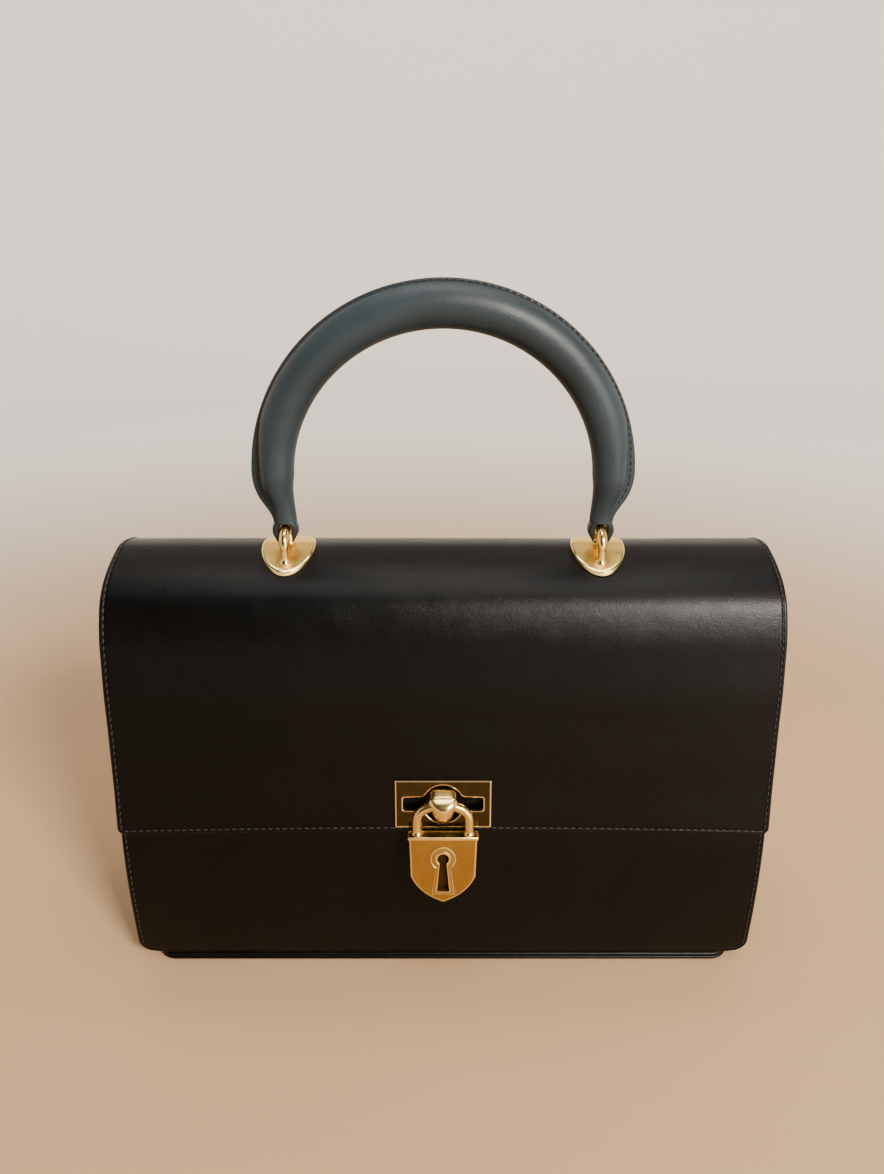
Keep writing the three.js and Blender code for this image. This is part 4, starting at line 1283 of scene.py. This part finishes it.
@dataclass
class Handle:
    """The padded roll, its sewn welt and the loops round the rings, in millimetres.

    Attributes:
        spread: Distance between the rings.
        plane: Place of the handle from front to back.
        spring_height: Height at which the arch begins.
        spring_reach: Half the arch's width, at the roll's middle.
        rise: Height of the arch.
        side_radius: Radius of the roll at its sides.
        top_radius: Radius of the roll at its top.
        taper: Length over which the roll thins to its necks.
        neck: Half the width and depth of a neck.
        neck_height: Height of the necks' ends.
        welt_half: Half the welt's thickness.
        welt_reach: How far the welt's edge stands out past a round roll.
        welt_low: Width of the welt over the necks.
        welt_high: Width of the welt along the arch.
        ring_height: Height of the rings' middles.
        ring_radius: Radius of the rings.
        wire: Radius of the rings' wire.
        foot_height: Height of the loops' feet.
        loop_depth: Depth of the loops from front to back.
        loop_half: Half the thickness of the loops' leather.
        loop_slack: Space between a loop and its ring.
    """

    spread: float = 136.0
    plane: float = -10.5
    spring_height: float = 227.0
    spring_reach: float = 71.2
    rise: float = 70.3
    side_radius: float = 8.15
    top_radius: float = 8.85
    taper: float = 21.0
    neck: tuple[float, float] = (5.1, 3.7)
    neck_height: float = 208.2
    welt_half: float = 0.95
    welt_reach: float = 1.6
    welt_low: float = 3.75
    welt_high: float = 1.2
    ring_height: float = 198.1
    ring_radius: float = 7.2
    wire: float = 2.2
    foot_height: float = 200.2
    loop_depth: float = 6.2
    loop_half: float = 1.45
    loop_slack: float = 0.4

    def line(self, count: int) -> Array:
        """Centreline: two legs that lean in by a smooth step, and half an ellipse over them."""
        share = np.linspace(1, 0, 60)[:-1]
        drop = self.spring_height - self.neck_height
        lean = (self.spring_reach - self.spread / 2) * ease(share, 0, 1)
        leg = np.stack([lean - self.spring_reach, share * 0, self.spring_height - drop * share], -1)
        angle = np.linspace(np.pi, 0, 400)
        height = self.spring_height + self.rise * np.sin(angle)
        arch = np.stack([self.spring_reach * np.cos(angle), angle * 0, height], -1)
        path = np.concatenate([leg, arch, (leg * [-1, 1, 1])[::-1]])
        return resampled(path, count) + [0, self.plane, 0]

    def section(self, count: int) -> dict[str, Array]:
        """Sizes of the section along the line.

        Args:
            count: Number of sections.

        Returns:
            The path, half widths outwards and inwards, depth, the welt's width, and the share of the
            fold beside the welt, which fades along the arch.
        """
        path = self.line(count)
        run = np.linspace(0, 1, count)
        steps = np.linalg.norm(np.diff(path, axis=0), axis=1).sum()
        from_end = np.minimum(run, 1 - run) * steps
        full = lerp(self.side_radius, self.top_radius, np.sin(np.pi * run) ** 2)
        taper = ease(from_end, 1.1, self.taper + 1.1)
        width = lerp(self.neck[0], full, taper)
        depth = lerp(self.neck[1], full, taper)
        reach = width * (1 + self.welt_reach / self.side_radius * ease(from_end, 0, 14))
        low = 1 - ease(from_end, 20, 48)
        least = 0.3
        welt = self.welt_high + (self.welt_low - self.welt_high) * ease(from_end, 4, 12) * low
        welt = least + (welt - least) * ease(from_end, 0.5, 8)
        fold = lerp(0.15, 1.0, low)
        sizes = {"outer": reach - welt, "inner": width, "depth": depth, "welt": welt, "fold": fold}
        return {"path": path} | {name: size[:, None] for name, size in sizes.items()}

    def make_grip(self, leather: bpy.types.Material, thread: bpy.types.Material) -> None:
        """Build the roll: a round pinched in where the welt leaves it, and the welt with a round edge."""
        count = 190
        size = self.section(count)
        path = size["path"]
        along = unit(np.gradient(path, axis=0))
        outward = np.stack([-along[:, 2], along[:, 1] * 0, along[:, 0]], -1)
        forward = np.array([0.0, -1.0, 0.0])
        outer, inner, depth, welt, fold = (size[name] for name in ("outer", "inner", "depth", "welt", "fold"))
        half = self.welt_half
        root = np.arcsin(half / depth)
        even = np.linspace(0, 1, 45)
        share = lerp(even, 0.5 - 0.5 * np.cos(np.pi * even), 0.55)
        angle = lerp(root, 2 * np.pi - root, share[None])
        from_welt = np.minimum(angle - root, 2 * np.pi - root - angle)
        pinch = fold * np.exp(-(((from_welt - 0.05) / 0.07) ** 2))
        reach = np.where(np.cos(angle) > 0, outer, inner)
        wide = np.cos(angle) * (reach - 0.3 * pinch)
        deep = np.sin(angle) * (depth - 0.5 * pinch)
        tip = outer + welt
        turn = np.linspace(-np.pi / 2, np.pi / 2, 9)[None]
        flank = np.array([0.06, 0.3, 0.62])[None]
        below = lerp(outer * np.cos(root), tip - half, flank)
        a = np.concatenate([wide, below, tip - half + half * np.cos(turn), below[:, ::-1]], 1)
        edge = -half * np.ones_like(below)
        b = np.concatenate([deep, edge, half * np.sin(turn) * np.ones_like(tip), -edge], 1)
        paint = ease(np.cos(turn), 0.2, 0.6) * np.ones_like(tip)
        rim = np.concatenate([wide * 0, edge * 0, paint, edge * 0], 1)
        rings = path[:, None] + a[..., None] * outward[:, None] + b[..., None] * forward
        rim = np.concatenate([rim[:1] * 0, rim, rim[-1:] * 0])
        shell = Shell()
        shell.add_grid(capped(rings), wrap=True, rim=rim)
        piece = shell.build("grip", crease=50)
        settle(piece, Body.HANDLE, Slot.SLATE_LEATHER, leather, "handle_grip")
        rows = Shell()
        seam = Stitches(pitch=3.0, length=2.4, radius=0.26, lean=0.08)
        keep = slice(6, count - 6)
        for side in (1, -1):
            row = path + outward * (outer + 0.42 * welt) + forward * side * (half - 0.08)
            face = np.broadcast_to(forward * side, row.shape)
            seam.along(rows, row[keep], face[keep])
        piece = rows.build("welt_stitches", crease=180, merge=0.0005)
        settle(piece, Body.HANDLE, Slot.SLATE_LEATHER, thread)

    def make_loop(self, name: str, x: float, leather: bpy.types.Material) -> None:
        """Build a loop: an upturned U over the ring's wire whose legs thin out to points.

        The U's middle is a half circle, then two legs that close in a little. It is carried from
        front to rear and drops with the ring's own circle.
        """
        bend = self.wire + self.loop_slack + self.loop_half
        leg = self.ring_height + self.ring_radius - self.foot_height
        s = np.concatenate([np.linspace(0, 1, 15)[:-1] ** 0.7, np.linspace(1, 2, 13)])
        s = s / 2
        turn = np.pi / 2 * np.clip(1 - (s - 0.5) / 0.5, 0, 1)
        side_x = np.where(s < 0.5, bend - 0.95 * np.clip(1 - 2 * s, 0, 1) ** 1.5, bend * np.sin(turn))
        side_z = np.where(s < 0.5, -leg * (1 - 2 * s), bend * np.cos(turn))
        half_x = np.concatenate([-side_x, side_x[-2::-1]])
        half_z = np.concatenate([side_z, side_z[-2::-1]])
        thick = np.where(s < 0.5, 0.5 + 2.5 * ease(s, 0.0, 0.42), 3.0)
        thick = np.concatenate([thick, thick[-2::-1]])[:, None]
        run = np.concatenate([[0], np.cumsum(np.hypot(np.diff(half_x), np.diff(half_z)))])
        half_depth = self.loop_depth / 2
        y = graded(self.loop_depth, np.array([0.0, 0.1, 0.35, 0.7, 1.2]), 0.8) - half_depth
        drop = self.ring_radius - np.sqrt(self.ring_radius**2 - y**2)
        grid = np.stack(
            np.broadcast_arrays(
                x + half_x[:, None],
                self.plane + y[None],
                self.ring_height + self.ring_radius + half_z[:, None] - drop[None],
            ),
            -1,
        )
        out = unit(np.cross(np.gradient(grid, axis=0), np.gradient(grid, axis=1)))
        ends = np.minimum(run, run[-1] - run)[:, None]
        sides = np.broadcast_to(half_depth - np.abs(y), grid.shape[:2])
        inset = np.minimum(np.broadcast_to(ends, grid.shape[:2]), sides)
        shell = Shell()
        sheet_shell(shell, grid, out, inset, np.broadcast_to(thick, inset.shape), sink=0.0)
        piece = shell.build(name, crease=60)
        settle(piece, Body.HANDLE, Slot.SLATE_LEATHER, leather, name.replace("loop", "handle_tab"))


@dataclass
class RingPlate:
    """An egg-shaped plate over the ridge with its half ring soldered on, in millimetres.

    Attributes:
        name: Start of its pieces' names.
        x: Its place across the bag.
        under: Height of its underside over the form line.
        thickness: Its thickness.
        half_width: Half its width.
        centre_y: Place of its widest part.
        front_length: Its length in front of that.
        rear_length: Its length behind it.
        front_exponent: Squareness of the front half.
        rear_exponent: Squareness of the rear half.
        plane: Place of the ring's middle.
        radius: Radius of the ring.
        ring_height: Height of its centre.
        top_wire: Radius of the wire at its top.
        foot_wire: Radius of the wire at its feet.
    """

    name: str
    x: float
    under: float = 3.0
    thickness: float = 1.8
    half_width: float = 11.7
    centre_y: float = -6.7
    front_length: float = 16.5
    rear_length: float = 11.6
    front_exponent: float = 1.9
    rear_exponent: float = 2.8
    plane: float = -10.5
    radius: float = 7.2
    ring_height: float = 198.1
    top_wire: float = 2.2
    foot_wire: float = 1.75

    def egg(self, count: int) -> Array:
        """Outline from above: superellipse halves with their own length and exponent."""
        angle = np.linspace(0, 2 * np.pi, count, endpoint=False)
        rear = np.sin(angle) > 0
        exponent = 2 / np.where(rear, self.rear_exponent, self.front_exponent)
        length = np.where(rear, self.rear_length, self.front_length)
        x = self.half_width * power(np.cos(angle), exponent)
        return np.stack([x, length * power(np.sin(angle), exponent)], -1)

    def make_plate(self, brass: bpy.types.Material) -> None:
        """Build the plate: rings of the egg, under it, round its edge and over it, bent with the ridge."""
        egg = self.egg(96)
        low, high = self.under, self.under + self.thickness
        # Share of the outline, height and polish
        profile = [(s, low, 0.0) for s in (0.0, 0.3, 0.6, 0.85)]
        profile += [(0.985, low, 0.5), (1.0, low + 0.2, 1.0), (1.0, high - 0.5, 1.0)]
        profile += [(0.992, high - 0.22, 1.0), (0.97, high - 0.05, 1.0), (0.94, high, 0.8)]
        profile += [(s, high, 0.15) for s in (0.9, 0.75, 0.6, 0.45, 0.3, 0.15, 0.0)]
        share = np.array([p[0] for p in profile])[:, None]
        x = self.x + egg[:, 0] * share
        y = self.centre_y + egg[:, 1] * share
        z = np.stack([FORM.top_at(off, row) for (_, off, _), row in zip(profile, y)])
        shell = Shell()
        shell.add_grid(np.stack([x, y, z], -1), wrap=True, polish=np.array([[p[2]] for p in profile]))
        settle(shell.build(f"{self.name}_plate", crease=24), Body.BAG, Slot.BRASS, brass, self.node())

    def node(self) -> str:
        """Name of the CAD node that the plate and its ring stand for."""
        return self.name.replace("ring", "ring_plate")

    def make_ring(self, brass: bpy.types.Material) -> None:
        """Build the ring: two legs and a half circle, thicker at the top, with solder at the feet."""
        middle = self.under + self.thickness / 2
        feet = [float(FORM.top_at(middle, self.plane + s * self.radius)) for s in (-1, 1)]
        angle = np.linspace(0, np.pi, 200)
        y = self.plane - self.radius * np.cos(angle)
        z = self.ring_height + self.radius * np.sin(angle)
        y = np.concatenate([y[:1], y, y[-1:]])
        z = np.concatenate([feet[:1], z, feet[1:]])
        path = resampled(np.stack([np.full_like(y, self.x), y, z], -1), 80)
        lift = np.clip((path[:, 2] - self.ring_height) / self.radius, 0, 1)
        surface = FORM.top_at(middle + self.thickness / 2, path[:, 1])
        solder = 0.75 * np.exp(-np.maximum(path[:, 2] - surface, 0) / 0.55)
        radius = lerp(self.foot_wire, self.top_wire, lift**0.5) + solder
        shell = Shell()
        shell.add_grid(wire(path, radius, np.array([1.0, 0.0, 0.0]), 28), wrap=True, polish=0.75)
        settle(shell.build(f"{self.name}_wire", crease=40), Body.BAG, Slot.BRASS, brass, self.node())


# Room


@dataclass
class Studio:
    """Camera, backdrop and lights, in metres."""

    eye: Place = (-0.0005, -0.3729, 0.3243)
    pitch: float = math.radians(22)
    focal_px: float = 880.0
    frame_height_px: float = 1174.0
    floor_radius: float = 1.5
    wall_bend: float = 0.6
    wall_height: float = 2.6
    floor_colour: Colour = (0.37, 0.23, 0.115)
    wall_colour: Colour = (0.76, 0.72, 0.67)
    shade_colour: Colour = (0.05, 0.047, 0.044)
    key_tint: Colour = (1.0, 0.93, 0.84)
    soft_tint: Colour = (1.0, 0.95, 0.89)

    def make_camera(self) -> None:
        """Set the camera at the photo's place, pitch and lens, without shift or blur."""
        lens = bpy.data.cameras.new("camera")
        lens.sensor_width = 36.0
        lens.lens = 36.0 * self.focal_px / self.frame_height_px
        lens.clip_start = 0.01
        lens.clip_end = 50.0
        lens.dof.use_dof = False
        camera = bpy.data.objects.new("camera", lens)
        camera.location = self.eye
        camera.rotation_euler = (math.pi / 2 - self.pitch, 0, 0)
        bpy.context.scene.collection.objects.link(camera)
        bpy.context.scene.camera = camera

    def make_backdrop(self) -> None:
        """Make a plain pale floor that bends up into a round wall: a profile turned about +Z. The wall ahead of
        the bag, behind the camera, is painted dark: painted shade, so that the leather and brass reflect dark.
        """
        angle = np.linspace(0, 2 * np.pi, 128, endpoint=False)
        flat = np.linspace(0.0, self.floor_radius, 12)
        bend = np.linspace(0, np.pi / 2, 16)[1:]
        radius = np.concatenate([flat, self.floor_radius + self.wall_bend * np.sin(bend)])
        height = np.concatenate([flat * 0, self.wall_bend * (1 - np.cos(bend))])
        radius = np.append(radius, radius[-1])[:, None]
        height = np.append(height, self.wall_height)[:, None]
        points = np.stack(np.broadcast_arrays(radius * np.cos(angle), radius * np.sin(angle), height), -1)
        shell = Shell()
        shell.add_grid(points / MM, wrap=True)
        floor = shell.build("floor", crease=60)
        nodes = Nodes("pale_floor")
        away = nodes.node("ShaderNodeVectorMath", {"operation": "LENGTH"}, {0: nodes.place()}, "Value")
        tone = nodes.mix(nodes.band(away, 0.3, 1.3), rgba(self.floor_colour), rgba(self.wall_colour))
        ahead = nodes.node("ShaderNodeSeparateXYZ", {}, {0: nodes.place()}, "Y")
        above = nodes.node("ShaderNodeSeparateXYZ", {}, {0: nodes.place()}, "Z")
        # Painted shade: the wall in front of the bag, behind the camera, darkens from its foot up to about 0.55
        # m.
        shade = nodes.band(0 - ahead, 0.6, 1.5) * nodes.band(above, 0.02, 0.55)
        tone = nodes.mix(shade, tone, rgba(self.shade_colour))
        floor.data.materials.append(nodes.surface({"Base Color": tone, "Roughness": 0.75}))

    def make_light(
        self,
        name: str,
        place: Place,
        aim: Place,
        size: tuple[float, float],
        watts: float,
        tint: Colour,
    ) -> None:
        """Add a soft rectangular light.

        Args:
            name: Its name.
            place: Where it stands.
            aim: What it points at.
            size: Its sides.
            watts: Its power.
            tint: Its colour.
        """
        lamp = bpy.data.lights.new(name, "AREA")
        lamp.shape = "RECTANGLE"
        lamp.size, lamp.size_y = size
        lamp.energy = watts
        lamp.color = tint
        holder = bpy.data.objects.new(name, lamp)
        holder.location = place
        direction = Vector(aim) - Vector(place)
        holder.rotation_euler = direction.to_track_quat("-Z", "Y").to_euler()
        bpy.context.scene.collection.objects.link(holder)

    def make_lights(self) -> None:
        """Light the room: a warm key, a soft side light, a wide top, a wash on the wall, a faint sky."""
        self.make_light("key", (0.74, -1.2, 1.08), (0.05, 0, 0.12), (0.36, 0.28), 66.0, self.key_tint)
        self.make_light("side", (1.05, -1.15, 0.5), (0.1, 0, 0.1), (0.9, 0.7), 14.0, self.soft_tint)
        self.make_light("top", (0.1, -0.3, 2.1), (0, 0.7, 0), (1.3, 0.9), 24.0, self.soft_tint)
        self.make_light("wash", (0.0, 0.5, 2.3), (0, 2.0, 0.6), (1.6, 0.4), 32.0, self.soft_tint)
        world = bpy.data.worlds.new("world")
        world.use_nodes = True
        sky = world.node_tree.nodes["Background"]
        sky.inputs["Color"].default_value = (0.86, 0.84, 0.8, 1)
        sky.inputs["Strength"].default_value = 0.05
        bpy.context.scene.world = world


# The whole bag


BLACK_LEATHER = LeatherFinish(
    name="black_calf",
    deep=(0.0004, 0.0003, 0.0002),
    face=(0.001, 0.0008, 0.0007),
    edge=(0.002, 0.0015, 0.0012),
    roughness=0.36,
    gloss=0.145,
    grain=0.00004,
)
SLATE_LEATHER = LeatherFinish(
    name="slate_calf",
    deep=(0.01, 0.016, 0.019),
    face=(0.018, 0.028, 0.034),
    edge=(0.008, 0.011, 0.012),
    roughness=0.44,
    gloss=0.27,
    grain=0.00004,
)
SATIN_BRASS = BrassFinish(
    name="satin_brass",
    face=(0.36, 0.195, 0.036),
    bright=(0.95, 0.68, 0.24),
    tarnish=(0.16, 0.08, 0.015),
    roughness=0.3,
    worn=0.08,
)
# The lock plate's brass is the same brass painted near black: a painted reflection of the dark room in front of
# the plate, with bright rubbed edges.
BRASS_PAINTED_DARK = BrassFinish(
    name="brass_with_painted_dark_reflection",
    face=(0.05, 0.036, 0.014),
    bright=(0.9, 0.68, 0.34),
    tarnish=(0.018, 0.012, 0.005),
    roughness=0.18,
    worn=0.02,
)
# The ring plates' brass: the brass painted brighter and yellower than the rings soldered to them, a painted
# highlight for the strong light that the plates catch from above.
BRASS_PAINTED_BRIGHT = BrassFinish(
    name="brass_painted_bright",
    face=(1.0, 0.62, 0.13),
    bright=(1.0, 0.8, 0.34),
    tarnish=(0.5, 0.28, 0.07),
    roughness=0.32,
    worn=0.08,
)
DARK_THREAD = ThreadFinish(name="black_thread", dark=(0.004, 0.0037, 0.0034), light=(0.02, 0.019, 0.017))


def main() -> None:
    """Build the room, then the body, the handle and the metal."""
    logging.basicConfig(level=logging.INFO, format="%(name)s %(message)s")
    studio = Studio()
    studio.make_camera()
    studio.make_backdrop()
    studio.make_lights()
    black, slate = BLACK_LEATHER.make(), SLATE_LEATHER.make()
    brass, dark, plate_brass_painted_bright, thread = (finish.make() for finish in (SATIN_BRASS, BRASS_PAINTED_DARK, BRASS_PAINTED_BRIGHT, DARK_THREAD))
    lock = Lock()
    body = BagBody()
    body.make_flap(lock, black)
    body.make_front(black)
    body.make_gusset(black)
    body.make_base(black)
    body.make_stitches(thread)
    handle = Handle()
    handle.make_grip(slate, thread)
    for side, x in (("left", -68.0), ("right", 68.0)):
        handle.make_loop(f"loop_{side}", x, slate)
        plate = RingPlate(f"ring_{side}", x)
        # The plate gets the brass painted bright: a painted highlight.
        plate.make_plate(plate_brass_painted_bright)
        plate.make_ring(brass)
    # The lock plate gets the brass with the painted dark reflection.
    lock.make_plate(dark)
    lock.make_knob(brass)
    padlock = Padlock(lock)
    padlock.make_body(brass)
    padlock.make_lip(brass)
    padlock.make_shackle(brass)
    post = frame["nodes"]["knob_post"]
    post.data.materials.clear()
    post.data.materials.append(brass)


if __name__ == "__main__":
    main()
